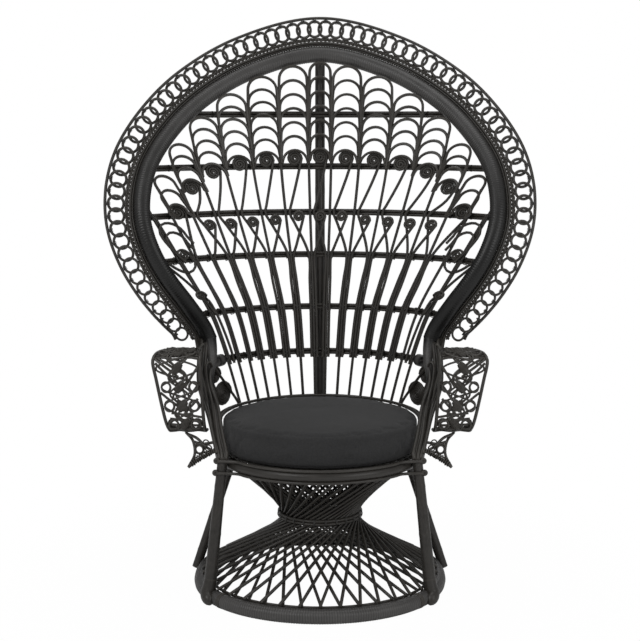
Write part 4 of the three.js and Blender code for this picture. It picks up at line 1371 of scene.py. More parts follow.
    def _crossing_stem(self, index: int, side: float) -> list[tuple[float, float, float]]:
        """The places of a big scroll's stem, which dips to the spoke on its left and ends by the one on its right."""
        fan = self.fan
        third, fourth = fan.rail_heights[2:4]
        left = index - 1
        height = self.big_heights[fan.rank(left)]
        middle = self._big_turn(left)
        low = min(third, height - self.big_scroll)
        turn = fan.beside(left, low, side * 1.35)
        edge = middle + (self.big_scroll - self.cane) / 2 / fan.bend(height) / max(math.cos(middle), self.steepest)
        drop = height - self.big_scroll * 0.55
        upper = (edge + (turn - edge) * 0.3, drop + (low - drop) * 0.22, -1.2)
        lower = (edge + (turn - edge) * 0.85, drop + (low - drop) * 0.85, -1.5)
        after = (turn + (fan.beside(index, fourth, -side) - turn) * 0.3, low + (fourth - low) * 0.3, -1.0)
        return [upper, lower, (turn, low, -1.5), after, *self._below(index, -side)]

    def _arch_height(self, index: int) -> float:
        """The height at which a spoke meets the arch."""
        height = self.fan.rail_heights[3]
        while height < self.fan.crown_height:
            if self.arch.gap_to(self.fan.at(self.fan.spoke(index, height), height, self.fan.rail_lift)) < 18:
                break
            height += 3
        return height

    def _half(self, column: int) -> float:
        """Half the width of a scallop column at its lowest scallop."""
        height = self.big_heights[self.fan.rank(column)] + self.over_scroll
        return self.fan.half_column(column, height) * self.fan.bend(height)

    def _rise(self, column: int) -> float:
        """The rise of a scallop's bow, which looks round from the front."""
        height = self.fan.rail_heights[1]
        return (self._half(column) - self.bow_inset) * max(math.cos(self.fan.column(column, height)), 0.72)

    def _bow_turn(self, column: int, height: float) -> float:
        """The turn of the middle of a column's bows, which lean outward by the sides."""
        rank = self.fan.rank(column)
        outward = 1 if column >= self.fan.per_side else -1
        return self.fan.column(column, height) + outward * self.bow_shifts[rank] / self.fan.bend(height)

    def _tops(self, column: int) -> list[float]:
        """The heights of a column's scallop tops, from the arch down to the scroll."""
        last = self.big_heights[self.fan.rank(column)] + self.over_scroll
        half = self._half(column) - self.bow_inset
        rise = self._rise(column)
        first = last
        while first < self.fan.crown_height and not self._touches(column, first + 2 - rise, half, rise):
            first += 2
        count = self.scallop_counts[self.fan.rank(column)]
        return [first + (last - first) * i / (count - 1) for i in range(count)]

    def _touches(self, column: int, spring: float, half: float, rise: float) -> bool:
        """Whether a scallop would stand too close to the middle of the arch."""
        for part in (0.0, 0.25, 0.5, 0.75, 1.0):
            height = spring + rise * math.sin(part * math.pi)
            turn = self._bow_turn(column, height) + math.cos(part * math.pi) * half / self.fan.bend(height)
            if self.arch.gap_to(self.fan.at(turn, height, self.fan.rail_lift)) < self.arch.wide / 2 - self.near_arch:
                return True
        return False

    def _scallop(self, column: int, top: float, foot: float, lift: float) -> Line:
        """One bent cane: up its left leg, over the bow and down its right leg. The legs close in on the spokes."""
        fan = self.fan
        rise = self._rise(column)
        spring = top - rise - self.fret / 2
        legs = []
        for way in (-1, 1):
            leg = []
            for i in range(7):
                share = i / 7
                height = foot + (spring - foot) * share
                inset = self.fret * 0.1 + (self.bow_inset - self.fret * 0.1) * share**1.5
                half = fan.half_column(column, height) - inset / fan.bend(height)
                outer = self._bow_turn(column, height) + way * half
                spoke = fan.column(column, height) + way * half
                leg.append((spoke + (outer - spoke) * share, height))
            legs.append(leg)
        bow = []
        for i in range(15):
            angle = math.pi * (1 - i / 14)
            height = spring + rise * math.sin(angle)
            half = fan.half_column(column, spring) - self.bow_inset / fan.bend(spring)
            bow.append((self._bow_turn(column, height) + math.cos(angle) * half, height))
        return [fan.at(at, height, lift) for at, height in [*legs[0], *bow, *reversed(legs[1])]]

    def _scallops(self, bench: Bench) -> None:
        """Lays the nested scallops of every bound group."""
        lift = -self.cane / 2 - self.fret / 2
        for n, (first, last) in enumerate(self.groups):
            lines = []
            for column in range(first, last + 1):
                tops = self._tops(column)
                pitch = tops[0] - tops[1]
                base = self.big_heights[self.fan.rank(column)] - self.big_scroll / 4
                for i, top in enumerate(tops):
                    foot = base if i == len(tops) - 1 else top - self._rise(column) - pitch * (2.4 if i == 0 else 1.5)
                    lines.append(self._scallop(column, top, max(foot, base), lift + (1.1 if i % 2 else -1.1)))
            piece = bench.lay(f"scallop_canes_{n + 1}", lines, self.fret, 6)
            bench.hand_over(piece, Finish.CANE, f"scallops_{n + 1}")

    def _side_curls(self, bench: Bench) -> None:
        """Lays the scrolls and small scallops by the sides, and the slanting canes at the seat."""
        fan = self.fan
        lines = []
        front = -self.cane
        turn, height = self.side_scroll
        scroll = self._curl(-turn, height, self.side_scroll_size, front)
        loop = [(-at, tall, front + 2 + n * 1.2) for n, (at, tall) in enumerate(self.side_loop)]
        lines.append(self._run(loop, scroll))
        for top, rise, wide in self.side_bows:
            bow = []
            middle = -turn - 1.5 / fan.bend(top)
            reach = fan.bend(top) * math.cos(turn)
            for i in range(15):
                angle = math.pi * (1 - i / 14)
                at = middle + (math.cos(angle) * wide + 3) / reach
                bow.append((at, top - rise + rise * math.sin(angle), front - 1))
            left_leg = [
                (bow[0][0] + 5 / reach, top - rise - 26, front), (bow[0][0] + 17 / reach, top - rise - 54, front),
            ]
            right_leg = [(bow[-1][0] + 9 / reach, top - rise - 24, front)]
            lines.append(self._run([*reversed(left_leg), *bow, *right_leg]))
        turn, height = self.low_scroll
        scroll = self._curl(-turn, height, self.low_scroll_size, -18)
        lines.append(self._run([(-at, tall, front + 1) for at, tall in self.low_stem], scroll))
        lines.append(self._run([(-at, tall, front + 2) for at, tall in self.low_link]))
        top_turn = -math.radians(70)
        lines.append(self._run([
            (top_turn, 562, front), (-math.radians(60), 500, front), (fan.beside(0, 440, -8), 440, front + 3),
            (fan.beside(0, 366, -8), 366, 0),
        ]))
        pieces = [bench.lay(f"side_curls_{side.word}", on_side(lines, side), self.cane * 0.94, 8) for side in Side]
        bench.hand_over(bench.join("side_curls", *pieces), Finish.CANE)

    def _crossings(self, bench: Bench) -> None:
        """Binds every spoke to every rail with two crossed turns of thin cane."""
        fan = self.fan
        pattern = bench.ring(2.5, 10.4, 14, 4)
        places = []
        for n, height in enumerate(fan.rail_heights):
            end = self._end_turn(height, 22)
            for index in range(fan.per_side * 2):
                turn = fan.spoke(index, height)
                if abs(turn) > end:
                    continue
                centre = fan.at(turn, height, fan.rail_lift / 2 + 0.6)
                back = Vector((math.sin(turn), math.cos(turn), 0))
                aside = Vector((math.cos(turn), -math.sin(turn), 0))
                bound = 1.35 if n >= 3 else 1.0
                for lean in (-1, 1):
                    slope = (aside * 0.62 * lean * bound + Vector((0, 0, 0.78))).normalized()
                    places.append(bench.place(centre, back, slope, 1.0, 1.04 * bound))
        bench.hand_over(bench.repeat("rail_bindings", pattern, places), Finish.WRAP)


@dataclass
class ArchBorder:
    """The wrapped band of the arch, its bead and braid, the linked rings and the rim."""

    arch: Arch
    winding: float = 6.6
    bead_reach: float = 31.2
    bead_thick: float = 7.2
    bed_reach: float = 25.4
    bed_thick: float = 7.5
    braid_reach: float = 40
    strand: float = 4.6
    strands: int = 3
    swing: float = 3.3
    ring_reach: float = 68.5
    ring_radius: float = 19.6
    ring_cane: float = 7.2
    crown_pitch: float = 29.8
    side_pitch: float = 34
    link: float = 8.6
    rim_reach: float = 97.8
    rim_cane: float = 8.2

    def ring_spots(self) -> list[tuple[float, float]]:
        """The share of the arch's length and the pitch at every ring, counted along the rings' own line."""
        steps = 480
        line = self._beside(steps, self.ring_reach)
        spans = np.array([(high - low).length for low, high in zip(line, line[1:])])
        shares = (np.arange(steps) + 0.5) / steps
        pitches = np.interp(np.abs(shares - 0.5), (0.0, 0.24), (self.crown_pitch, self.side_pitch))
        passed = np.concatenate(([0.0], np.cumsum(spans / pitches)))
        count = round(float(passed[-1]))
        wanted = (np.arange(count) + 0.5) * passed[-1] / count
        found = np.interp(wanted, passed, np.arange(steps + 1) / steps)
        return [(float(share), float(np.interp(share, shares, pitches))) for share in found]

    def build(self, bench: Bench) -> None:
        """Builds the arch and its border.

        Args:
            bench: The workbench.
        """
        self._band(bench)
        self._braid(bench)
        self._rings(bench)
        self._rim(bench)

    def _band(self, bench: Bench) -> None:
        """Lays the band as a round wound pole and presses it flatter in depth."""
        arch = self.arch
        press = arch.deep / arch.wide
        stretched = [Vector((p.x, p.y / press, p.z)) for p in arch.line.spaced(400)]
        line = SmoothLine(stretched, 3)
        middle = line.at(0.5)
        piece = bench.wrapped("wound_arch_band", line, arch.wide, self.winding, 18, 1.0)
        bench.pick(piece)
        bpy.ops.transform.resize(value=(1, press, 1), center_override=(0, bench.axis, middle.z * MM))
        bench.settle(piece)
        bench.hand_over(piece, Finish.WOUND, "arch_band")

    def _beside(self, count: int, reach: float, forward: float = 0.0) -> Line:
        """A line beside the band, from neck to neck."""
        return [self.arch.beside(i / count, reach, forward) for i in range(count + 1)]

    def _braid(self, bench: Bench) -> None:
        """Lays the bed cane, the bead and the plaited strands outside the band."""
        bed = bench.lay("bed_cane", [self._beside(220, self.bed_reach, -3.0)], self.bed_thick, 8)
        bead = bench.lay("bead_cane", [self._beside(220, self.bead_reach, 1.5)], self.bead_thick, 8)
        turns = round(self.arch.length / 30)
        count = turns * 12
        lines = []
        for n in range(self.strands):
            line = []
            for i in range(count + 1):
                phase = math.tau * (i / 12 + n / self.strands)
                out = self.braid_reach + self.swing * math.sin(phase)
                line.append(self.arch.beside(i / count, out, 1.8 * math.sin(2 * phase)))
            lines.append(line)
        plait = bench.lay("plaited_strands", lines, self.strand, 6)
        bench.hand_over(bench.join("bead_and_braid", bed, bead, plait), Finish.CANE, "arch_braid")

    def _rings(self, bench: Bench) -> None:
        """Links the rings of the border, each tilted so that it passes its neighbour."""
        arch = self.arch
        pattern = bench.ring(self.ring_cane, self.ring_radius, 26, 6)
        places = []
        for share, pitch in self.ring_spots():
            centre = arch.beside(share, self.ring_reach)
            away = arch.away(share)
            along = away.cross(Vector((0, 1, 0))).normalized()
            inner = arch.beside(share, self.braid_reach + 4)
            outer = arch.beside(share, self.rim_reach - self.rim_cane / 2)
            tall = ((outer - inner).length - self.ring_cane) / 2 / self.ring_radius * 0.99
            wide = (pitch + self.link) / 2 / self.ring_radius
            near_end = 1 - self.arch.pinch * max(0.0, 1 - min(share, 1 - share) / self.arch.pinch_share)
            tilted = (along + Vector((0, 0.2, 0))).normalized()
            places.append(bench.place(centre, tilted, away, wide * (0.3 + 0.7 * near_end), tall))
        bench.hand_over(bench.repeat("linked_rings", pattern, places), Finish.CANE, "ring_border")

    def _rim(self, bench: Bench) -> None:
        """Lays the rim and ties it to every ring's crest."""
        arch = self.arch
        rim = bench.lay("rim_cane", [self._beside(240, self.rim_reach)], self.rim_cane, 8)
        bench.hand_over(rim, Finish.CANE, "arch_rim")
        pattern = bench.ring(2.3, 4.5, 12, 4)
        places = []
        for spot, _ in self.ring_spots():
            for shift in (-2.6, 0.0, 2.6):
                share = spot + shift / arch.length
                centre = arch.beside(share, self.rim_reach - 5.6)
                places.append(bench.place(centre, arch.away(share), Vector((0, 1, 0)), 1.7, 1.02))
        bench.hand_over(bench.repeat("rim_ties", pattern, places), Finish.WRAP)


@dataclass
class Posts:
    """The bundles of canes that run from the arch's necks down to the front legs."""

    arch: Arch
    seat: SeatFrame
    wide: float = 42
    cane: float = 9.4
    bows: tuple[tuple[float, float], ...] = ((0.38, 21), (0.6, 9), (0.83, 6))
    taper: float = 0.62
    canes: int = 5

    def __post_init__(self) -> None:
        """Lays the middle line of the left bundle."""
        top = self.arch.nodes[0] + (self.arch.nodes[1] - self.arch.nodes[0]).normalized() * 6.5
        foot = self.seat.leg_top + Vector((0, 0, 6.8))
        bows = [top.lerp(foot, share) - Vector((bow, 0, 0)) for share, bow in self.bows]
        self.line = SmoothLine([top, *bows, foot])

    def at(self, share: float, across: float, through: float = 0.0) -> Vector:
        """A place in the left bundle, across it towards the middle of the chair."""
        along = self.line.along(share)
        depth = (Vector((0, 1, 0)) - along * along.y).normalized()
        side = depth.cross(along)
        if side.x < 0:
            side.negate()
        return self.line.at(share) + side * across + depth * through

    def build(self, bench: Bench) -> None:
        """Builds both bundles with their wraps.

        Args:
            bench: The workbench.
        """
        lines = []
        for n in range(self.canes):
            spot = (n - (self.canes - 1) / 2) / ((self.canes - 1) / 2)
            line = []
            for i in range(31):
                share = i / 30
                half = (self.wide - self.cane) / 2 * (1 - (1 - self.taper) * share)
                sway = 1.3 * math.sin(share * 7 + n * 1.9)
                line.append(self.at(share, spot * half + sway, (2.1 if n % 2 else -2.1) + sway * 0.5))
            line.append(self.seat.leg_top.lerp(self.seat.leg_foot, 0.055) + Vector((spot * 8, -9 + abs(spot) * 5, 0)))
            lines.append(line)
        bead = self.arch.beside(0.001, 31.2, 1.5)
        bed = self.arch.beside(0.001, 25.4, -3.0)
        for start, across, through in ((bead, -22, -4), (bed, -15, 6)):
            nodes = [start, *(self.at(share, across * (1 - 0.4 * share), through) for share in (0.16, 0.4, 0.7, 0.98))]
            lines.append(SmoothLine(nodes).spaced(30))
        hooks = [
            [(-307, 48, 631), (-313, 42, 626), (-318, 37, 612), (-317, 30, 592), (-310, 14, 559), (-296, -22, 513),
             (-284, -56, 466), (-271, -98, 416)],
            [(-284, 34, 574), (-287, 28, 583), (-293, 24, 587), (-298, 20, 578), (-297, 10, 556), (-291, -8, 530),
             (-281, -38, 502), (-272, -70, 461), (-262, -112, 408)],
        ]
        hook_lines = [SmoothLine([Vector(place) for place in hook]).spaced(34) for hook in hooks]
        ends = ((0.0, 5), (0.1, 12), (0.2, 16), (0.33, 13), (0.42, 10))
        tail = SmoothLine([self.at(share, across, 4.0) for share, across in ends])
        for side in Side:
            canes = bench.lay("post_canes", on_side(lines, side), self.cane, 8)
            hooked = bench.lay("post_hooks", on_side(hook_lines, side), self.cane * 0.8, 8)
            piece = bench.join(f"post_canes_{side.word}", canes, hooked)
            bench.hand_over(piece, Finish.CANE, f"front_post_{side.word}")
            line = SmoothLine(on_side([tail.spaced(20)], side)[0])
            bench.hand_over(bench.wrapped(f"arch_end_{side.word}", line, 34, 4.6, 16, 0.8, taper=0.45), Finish.WOUND)


@dataclass
class Arms:
    """The rolled arms: two rails, a chain of crossed canes between rings, and the tail below."""

    thick: float = 8.8
    chain_cane: float = 5.4
    ring_cane: float = 5.6
    roll: tuple[tuple[float, float, float, float], ...] = (
        (398, 330, 98, 610), (420, 307, -66, 622), (425, 306, -90, 609), (416, 303, -93, 560),
        (392, 296, -92, 448), (385, 294, -76, 427), (380, 292, -44, 422),
    )
    first_cross: float = 0.04
    cross_step: float = 0.1172
    crosses: int = 8
    ringless: int = 4
    crossed_knots: int = 3
    knot_turns: int = 5
    knot_pitch: float = 2.9
    weave: tuple[tuple[float, float, float], ...] = (
        (0.19, 0.022, 0.0), (0.21, -0.02, 0.12), (0.12, 0.0, 0.04), (0.42, 0.02, 0.48),
    )
    slants: tuple[tuple[tuple[float, float], tuple[float, float]], ...] = (
        ((0.04, 0.445), (0.5, 0.565)), ((0.05, 0.475), (0.4, 0.6)), ((0.1, 0.44), (0.62, 0.545)),
        ((0.96, 0.5), (0.62, 0.63)), ((0.97, 0.6), (0.64, 0.71)), ((0.03, 0.66), (0.45, 0.76)),
        ((0.9, 0.7), (0.5, 0.8)),
    )
    tail_edge: tuple[tuple[float, float, float], ...] = (
        (346, -50, 415.4), (324, -96, 402), (319, -112, 372), (335, -118, 340),
    )
    tail_foot: tuple[tuple[float, float, float], ...] = ((335, -118, 340), (303, -122, 366), (265, -136, 386))
    tail_brace: tuple[tuple[float, float, float], ...] = ((324, -96, 402), (300, -106, 398), (272, -116, 404))

    def __post_init__(self) -> None:
        """Lays the edges of the left arm."""
        self.edges = [SmoothLine([Vector((-row[edge], row[2], row[3])) for row in self.roll]) for edge in (0, 1)]

    def at(self, across: float, share: float, lift: float = 0.0) -> Vector:
        """A place on the left arm's panel, from its outer rail across to its inner rail."""
        outer, inner = (edge.at(share) for edge in self.edges)
        along = self.edges[0].along(share)
        out = (inner - outer).cross(along).normalized()
        return outer.lerp(inner, across) + out * lift

    def build(self, bench: Bench) -> None:
        """Builds both arms.

        Args:
            bench: The workbench.
        """
        for side in Side:
            for n, word in enumerate(("outer", "inner")):
                line = self.edges[n].spaced(44)
                rail = bench.lay(f"arm_{word}_cane_{side.word}", on_side([line], side), self.thick, 8)
                bench.hand_over(rail, Finish.CANE, f"arm_{word}_rail_{side.word}")
            self._panel(bench, side)
            self._tail(bench, side)

    def _chain(self) -> list[Line]:
        """The canes that cross in the middle of the panel and swing apart between, with slanting ones beside them."""
        lines = []
        count = self.crosses * 12
        for swing, shift, turn in self.weave:
            for way in (-1, 1):
                line = []
                for i in range(count + 1):
                    share = self.first_cross + (i / 12 - 0.5) * self.cross_step
                    phase = math.pi * (i / 12 - 0.5 + turn)
                    uneven = 0.02 * math.sin(i * 0.37 + swing * 40 + way)
                    across = 0.5 + way * swing * math.sin(phase) + shift * way + uneven
                    lift = way * 2.2 * math.cos(phase) + 3 * (swing - 0.24)
                    line.append(self.at(min(max(across, 0.05), 0.95), min(max(share, 0.0), 1.0), lift))
                lines.append(line)
        return lines

    def _bars(self) -> list[Line]:
        """The canes laid side by side over the front corner and across the lower end, and the slanting ones between."""
        lines = []
        for share, bow in ((0.33, 0.012), (0.356, 0.008), (0.382, 0.0), (0.41, -0.004), (0.44, -0.008)):
            lines.append([
                self.at(i / 12, share + bow * math.sin(i * 0.9), 1.5 + 0.8 * math.sin(i * 1.7)) for i in range(13)
            ])
        for start, end in self.slants:
            lines.append([
                self.at(start[0] + (end[0] - start[0]) * i / 12, start[1] + (end[1] - start[1]) * i / 12,
                        1.0 + 1.6 * math.sin(i * 0.7 + start[1] * 30))
                for i in range(13)
            ])
        for n in range(7):
            share = 0.815 + 0.0275 * n
            start = max(0.0, 0.2 - 0.07 * n)
            lines.append([
                self.at(
                    start + (1 - start) * i / 12, share - 0.028 * (1 - i / 12) * max(0, 3 - n) / 3,
                    1.2 * math.sin(i + n),
                )
                for i in range(13)
            ])
        return lines

    def _panel(self, bench: Bench, side: Side) -> None:
        """Fills an arm with its chain of crossed canes, wraps, rings and bars."""
        flip = Matrix.Diagonal((side.value * -1, 1, 1, 1))
        ring = bench.ring(self.ring_cane, 12.0, 20, 6)
        cross = bench.ring(2.8, 8.0, 14, 5)
        rings = []
        wraps = []
        for i in range(self.crosses):
            share = self.first_cross + i * self.cross_step
            span = self.edges[1].at(share) - self.edges[0].at(share)
            wide = span.length
            side_way = span.normalized()
            along = self.edges[0].along(share)
            normal = along.cross(side_way)
            size = (wide * (0.5 - 0.045) - self.thick / 2) / 2 / 14.3 * (0.72 + 0.1 * math.sin(i * 2.1))
            for across in (0.5 - 0.31, 0.5 + 0.31 + 0.02 * math.sin(i * 1.7)):
                if i == self.ringless:
                    continue
                tilt = (side_way + normal * (0.3 if across < 0.5 else -0.3)).normalized()
                leant = (side_way - normal * (0.22 if across < 0.5 else -0.22)).normalized()
                rings.append(flip @ bench.place(self.at(across, share, 1.0), tilt, along, size, size * 1.04))
                rings.append(flip @ bench.place(self.at(across, share, -2.4), leant, along, size * 0.9, size))
            for lean in (-1, 1) if i % self.crossed_knots == 0 else (1,):
                slope = (along + side_way * lean * 0.95).normalized()
                other = (along - side_way * lean * 0.95).normalized()
                for step in range(-self.knot_turns, self.knot_turns + 1):
                    centre = self.at(0.5, share) + other * step * self.knot_pitch
                    shrink = 1.22 - 0.09 * abs(step)
                    wraps.append(flip @ bench.place(centre, slope, normal, shrink * 1.2, 0.55 * shrink))
        rings_piece = bench.repeat("rings", ring, rings)
        wraps_piece = bench.repeat("wraps", cross, wraps)
        chain = bench.lay("chain", on_side(self._chain(), side), self.chain_cane, 6)
        bars = bench.lay("bars", on_side(self._bars(), side), 6.8, 6)
        panel = bench.join(f"arm_rings_{side.word}", chain, bars, rings_piece, wraps_piece)
        bench.hand_over(panel, Finish.CANE, f"arm_panel_{side.word}")

    def _tail(self, bench: Bench, side: Side) -> None:
        """Lays the pointed tail below an arm, with its rings and its knotted lower edge."""
        lines = []
        for places in (self.tail_edge, self.tail_foot, self.tail_brace):
            nodes = [Vector((-out, depth, height)) for out, depth, height in places]
            lines.append(SmoothLine(nodes).spaced(16))
        lines.append(SmoothLine([
            Vector((-338, -78, 417)), Vector((-314, -98, 411)), Vector((-290, -114, 392)), Vector((-268, -130, 384)),
        ]).spaced(12))
        canes = bench.lay("tail_lines", on_side(lines, side), self.thick * 0.86, 8)
        flip = Matrix.Diagonal((side.value * -1, 1, 1, 1))
        pattern = bench.ring(5.0, 11.0, 18, 6)
        slant = Vector((0.95, -0.3, -0.1))
        spots = (
            ((-308, -108, 386), 1.16), ((-307, -112, 385), 0.9), ((-294, -114, 372), 0.72), ((-283, -122, 390), 0.78),
            ((-290, -112, 402), 0.7),
        )
        places = [flip @ bench.place(Vector(spot), slant, Vector((0, 0, 1)), size, size) for spot, size in spots]
        rings = bench.repeat("tail_rings", pattern, places)
        foot = SmoothLine([Vector((-out, depth, height)) for out, depth, height in self.tail_foot])
        binding = bench.ring(3.6, 6.0, 14, 5)
        turns = []
        for i in range(13):
            share = 0.12 + 0.86 * i / 12
            along = foot.along(share)
            across = along.cross(Vector((0, 1, 0))).normalized()
            grow = 0.85 + 0.34 * math.sin(math.pi * min(1.0, share * 1.1)) + 0.12 * math.sin(i * 2.2)
            turns.append(flip @ bench.place(foot.at(share) + Vector((0, 0, 1.5)), across, along.cross(across),
                grow, grow))
        knots = bench.repeat("tail_knots", binding, turns)
        tail = bench.join(f"arm_tail_canes_{side.word}", canes, rings, knots)
        bench.hand_over(tail, Finish.CANE, f"arm_tail_{side.word}")


@dataclass
class SideScrolls:
    """The wound scrolls on the inner side of each post."""

    posts: Posts
    turn: float = math.radians(37)
    cane: float = 8.0
    scrolls: tuple[tuple[float, float, float, float], ...] = ((281, 82, 541, 54), (261, 110, 486, 74))

    def build(self, bench: Bench) -> None:
        """Builds the scrolls of both sides.

        Args:
            bench: The workbench.
        """
        aside = Vector((math.sin(self.turn), math.cos(self.turn), 0))
        lines = []
        for out, depth, height, size in self.scrolls:
            middle = Vector((-out, depth, height))
            spiral = [middle + aside * u + Vector((0, 0, v)) for u, v in curl(size, self.cane)]
            lines.append([Vector(p) for p in spiral])
        root = self.posts.at(0.12, 12, 9)
        upper, lower = (Vector((-out, depth, height)) for out, depth, height, _ in self.scrolls)
        stem = [root, upper - aside * 9 + Vector((0, 0, 24)), upper - aside * 15, lower - aside * 22]
        lines.append(SmoothLine(stem).spaced(30))
        for side in Side:
            piece = bench.lay(f"side_scroll_canes_{side.word}", on_side(lines, side), self.cane, 8)
            bench.hand_over(piece, Finish.CANE, f"side_scroll_{side.word}")


@dataclass
class SeatCushion:
    """The loose round cushion, swelled by a cloth simulation."""

    radius: float = 246
    low: float = 368
    high: float = 452
    voxel: float = 5.5
    pressure: float = 3.0
    side_most: float = 4.5
    crown: float = 21.0
    sag: float = 2.0
    pressed: float = 0.002
    seam_heights: tuple[float, float] = (0.448, 0.3725)
    frames: int = 20

    def build(self, bench: Bench) -> None:
        """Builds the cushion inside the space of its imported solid.

        Args:
            bench: The workbench.
        """
        piece = self._blank(bench)
        self._swell(piece, bench.axis)
        self._fit(piece)
        bench.pick(piece)
        soften = piece.modifiers.new("soften", "SUBSURF")
        soften.levels = 1
        soften.render_levels = 1
        bpy.ops.object.modifier_apply(modifier="soften")
        self._seams(piece)
        bpy.ops.object.shade_smooth()
        bench.hand_over(piece, Finish.CLOTH, "cushion", body=CUSHION_BODY)

    def _blank(self, bench: Bench) -> bpy.types.Object:
        """Models the unswelled cushion from a short round with rounded rims."""
        bench.clear()
        bpy.ops.mesh.primitive_cylinder_add(
            vertices=96, radius=self.radius * MM, depth=(self.high - self.low) * MM,
            location=(0, bench.axis, (self.high + self.low) / 2 * MM),
        )
        piece = bpy.context.object
        piece.name = "round_cushion"
        bench.settle(piece)
        bpy.ops.object.mode_set(mode="EDIT")
        bpy.ops.mesh.select_mode(type="FACE")
        bpy.ops.mesh.select_all(action="DESELECT")
        bpy.ops.object.mode_set(mode="OBJECT")
        for face in piece.data.polygons:
            face.select = abs(face.normal.z) > 0.9
        bpy.ops.object.mode_set(mode="EDIT")
        bpy.ops.mesh.bevel(offset=11 * MM, segments=3, affect="EDGES")
        bpy.ops.object.mode_set(mode="OBJECT")
        piece.data.remesh_voxel_size = self.voxel * MM
        bpy.ops.object.voxel_remesh()
        return piece

    def _swell(self, piece: bpy.types.Object, axis: float) -> None:
        """Swells the blank by cloth pressure, and limits how far each point moves.

        Args:
            piece: The blank.
            axis: Where the chair's middle axis stands along Y, in metres.
        """
        bpy.context.view_layer.update()
        start = self._read(piece)
        cloth = piece.modifiers.new("swell", "CLOTH")
        cloth.settings.use_pressure = True
        cloth.settings.uniform_pressure_force = self.pressure
        cloth.settings.effector_weights.gravity = 0
        cloth.settings.tension_stiffness = 25
        cloth.settings.compression_stiffness = 25
        cloth.settings.bending_stiffness = 2
        scene = bpy.context.scene
        for frame in range(1, self.frames + 1):
            scene.frame_set(frame)
        Bench.pick(piece)
        bpy.ops.object.modifier_apply(modifier="swell")
        moved = self._read(piece) - start
        aside = np.linalg.norm(moved[:, :2], axis=1, keepdims=True)
        moved[:, :2] *= np.minimum(1.0, self.side_most * MM / np.maximum(aside, 1e-9))
        out = np.hypot(start[:, 0], start[:, 1] - axis) / (self.radius * MM)
        dome = self.crown * MM * np.maximum(0.0, 1 - out ** 2.4)
        moved[:, 2] = np.clip(moved[:, 2], -self.sag * MM, dome)
        piece.data.vertices.foreach_set("co", (start + moved).ravel())
        scene.frame_set(1)

    @staticmethod
    def _read(piece: bpy.types.Object) -> np.ndarray:
        """The places of a piece's points, a row each."""
        flat = np.empty(len(piece.data.vertices) * 3)
        piece.data.vertices.foreach_get("co", flat)
        return flat.reshape(-1, 3)

    def _fit(self, piece: bpy.types.Object) -> None:
        """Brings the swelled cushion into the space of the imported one, flat where it rests."""
        low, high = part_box("cushion")
        places = self._read(piece)
        lowest, highest = places.min(axis=0), places.max(axis=0)
        room = np.array([tuple(low), tuple(high)])
        margin = 0.0012
        for axis in (0, 1):
            span = (room[1][axis] - room[0][axis] - 2 * margin) / (highest[axis] - lowest[axis])
            places[:, axis] = room[0][axis] + margin + (places[:, axis] - lowest[axis]) * span
        bottom = room[0][2] + 0.0004
        tall = (room[1][2] - bottom - margin) / (highest[2] - lowest[2] - self.pressed)
        raised = bottom + (places[:, 2] - lowest[2] - self.pressed) * tall
        places[:, 2] = np.maximum(raised, bottom)
        for i in range(len(places)):
            spot = Vector(places[i])
            pucker = noise.noise(spot * 9.0) * 0.0014 + noise.noise(spot * 23.0) * 0.0005
            places[i][2] = max(places[i][2] + pucker * (1 if places[i][2] > bottom + 0.02 else 0), bottom)
        piece.data.vertices.foreach_set("co", places.ravel())
        piece.data.update()

    def _seams(self, piece: bpy.types.Object) -> None:
        """Draws the two sewn seams in, where the side meets the top and the bottom."""
        low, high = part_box("cushion")
        middle = (low + high) / 2
        places = self._read(piece)
        out = np.hypot(places[:, 0] - middle.x, places[:, 1] - middle.y)
        radius = out.max()
        for height in self.seam_heights:
            near = np.exp(-(((places[:, 2] - height) / 0.0024) ** 2)) * (out > radius * 0.9)
            pull = 1 - 0.0022 * near / np.maximum(out, 1e-6)
            places[:, 0] = middle.x + (places[:, 0] - middle.x) * pull
            places[:, 1] = middle.y + (places[:, 1] - middle.y) * pull
        piece.data.vertices.foreach_set("co", places.ravel())
        piece.data.update()


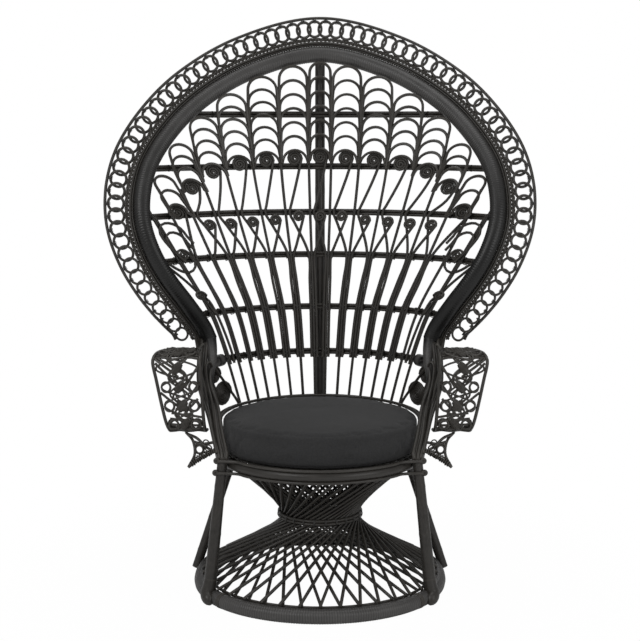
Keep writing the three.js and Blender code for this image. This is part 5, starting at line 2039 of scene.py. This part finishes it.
@dataclass
class Studio:
    """The camera of the photograph, a white floor and soft lamps."""

    camera_place: tuple[float, float, float] = (0.0, -3.7067, 1.229)
    pitch: float = 0.142
    lens: float = 81.056
    sensor: float = 36.0
    floor_size: float = 14.0
    world_strength: float = 0.3
    lamps: tuple[tuple[str, tuple[float, float, float], tuple[float, float], float], ...] = (
        ("key_lamp", (-2.6, -3.4, 3.2), (2.4, 2.4), 44.0),
        ("fill_lamp", (3.1, -3.1, 2.1), (2.4, 2.4), 28.0),
        ("top_lamp", (0.0, 0.3, 4.2), (3.0, 2.4), 32.0),
        ("rear_lamp", (0.4, 3.6, 2.8), (2.6, 2.0), 18.0),
    )

    def build(self) -> None:
        """Sets the camera, the floor, the world and the lamps."""
        camera = bpy.data.cameras.new("photo_camera")
        camera.lens = self.lens
        camera.sensor_width = self.sensor
        camera.sensor_fit = "HORIZONTAL"
        viewer = bpy.data.objects.new("photo_camera", camera)
        viewer.location = self.camera_place
        viewer.rotation_euler = (math.pi / 2 - self.pitch, 0, 0)
        bpy.context.scene.collection.objects.link(viewer)
        bpy.context.scene.camera = viewer
        bpy.context.scene.view_settings.view_transform = "Standard"
        self._floor()
        self._world()
        for name, place, size, power in self.lamps:
            self._lamp(name, place, size, power)

    def _floor(self) -> None:
        """Lays the studio's white paper."""
        Bench.clear()
        bpy.ops.mesh.primitive_plane_add(size=self.floor_size, location=(0, 0, -0.0006))
        floor = bpy.context.object
        floor.name = "studio_floor"
        Bench.settle(floor)
        floor.data.materials.append(StudioPaper("studio_paper", (0.93, 0.93, 0.93), 0.985, 0.45, 1.2).mix())

    def _world(self) -> None:
        """Makes the world white to the camera and to reflections, and softer as a light."""
        world = bpy.data.worlds.new("studio_world")
        bpy.context.scene.world = world
        world.use_nodes = True
        tree = world.node_tree
        output = tree.nodes["World Output"]
        seen = tree.nodes["Background"]
        seen.inputs["Color"].default_value = (1, 1, 1, 1)
        seen.inputs["Strength"].default_value = 1.0
        light = tree.nodes.new("ShaderNodeBackground")
        light.inputs["Color"].default_value = (1, 1, 1, 1)
        light.inputs["Strength"].default_value = self.world_strength
        path = tree.nodes.new("ShaderNodeLightPath")
        mix = tree.nodes.new("ShaderNodeMixShader")
        tree.links.new(path.outputs["Is Camera Ray"], mix.inputs["Fac"])
        tree.links.new(light.outputs["Background"], mix.inputs[1])
        tree.links.new(seen.outputs["Background"], mix.inputs[2])
        tree.links.new(mix.outputs["Shader"], output.inputs["Surface"])

    @staticmethod
    def _lamp(name: str, place: tuple[float, float, float], size: tuple[float, float], power: float) -> None:
        """Hangs a soft lamp that looks at the chair.

        Args:
            name: The lamp's name.
            place: Where it hangs.
            size: Its width and height.
            power: Its power in watts.
        """
        lamp = bpy.data.lights.new(name, "AREA")
        lamp.shape = "RECTANGLE"
        lamp.size, lamp.size_y = size
        lamp.energy = power
        holder = bpy.data.objects.new(name, lamp)
        holder.location = place
        aim = Vector((0, 0, 0.75)) - Vector(place)
        holder.rotation_euler = aim.to_track_quat("-Z", "Y").to_euler()
        bpy.context.scene.collection.objects.link(holder)


def main() -> None:
    """Builds the chair in order and reports each piece."""
    logging.basicConfig(level=logging.INFO, format="%(message)s")
    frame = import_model()
    LOG.info("the frame has %d nodes", len(frame["nodes"]))
    low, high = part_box("base_ring")
    bench = Bench((low[1] + high[1]) / 2)
    fan = Fan()
    arch = Arch(fan)
    seat = SeatFrame()
    posts = Posts(arch, seat)
    HourglassBase().build(bench)
    seat.build(bench, fan)
    Legs(seat).build(bench)
    FanBack(fan, arch).build(bench)
    ArchBorder(arch).build(bench)
    posts.build(bench)
    Arms().build(bench)
    SideScrolls(posts).build(bench)
    SeatCushion().build(bench)
    Studio().build()


if __name__ == "__main__":
    main()
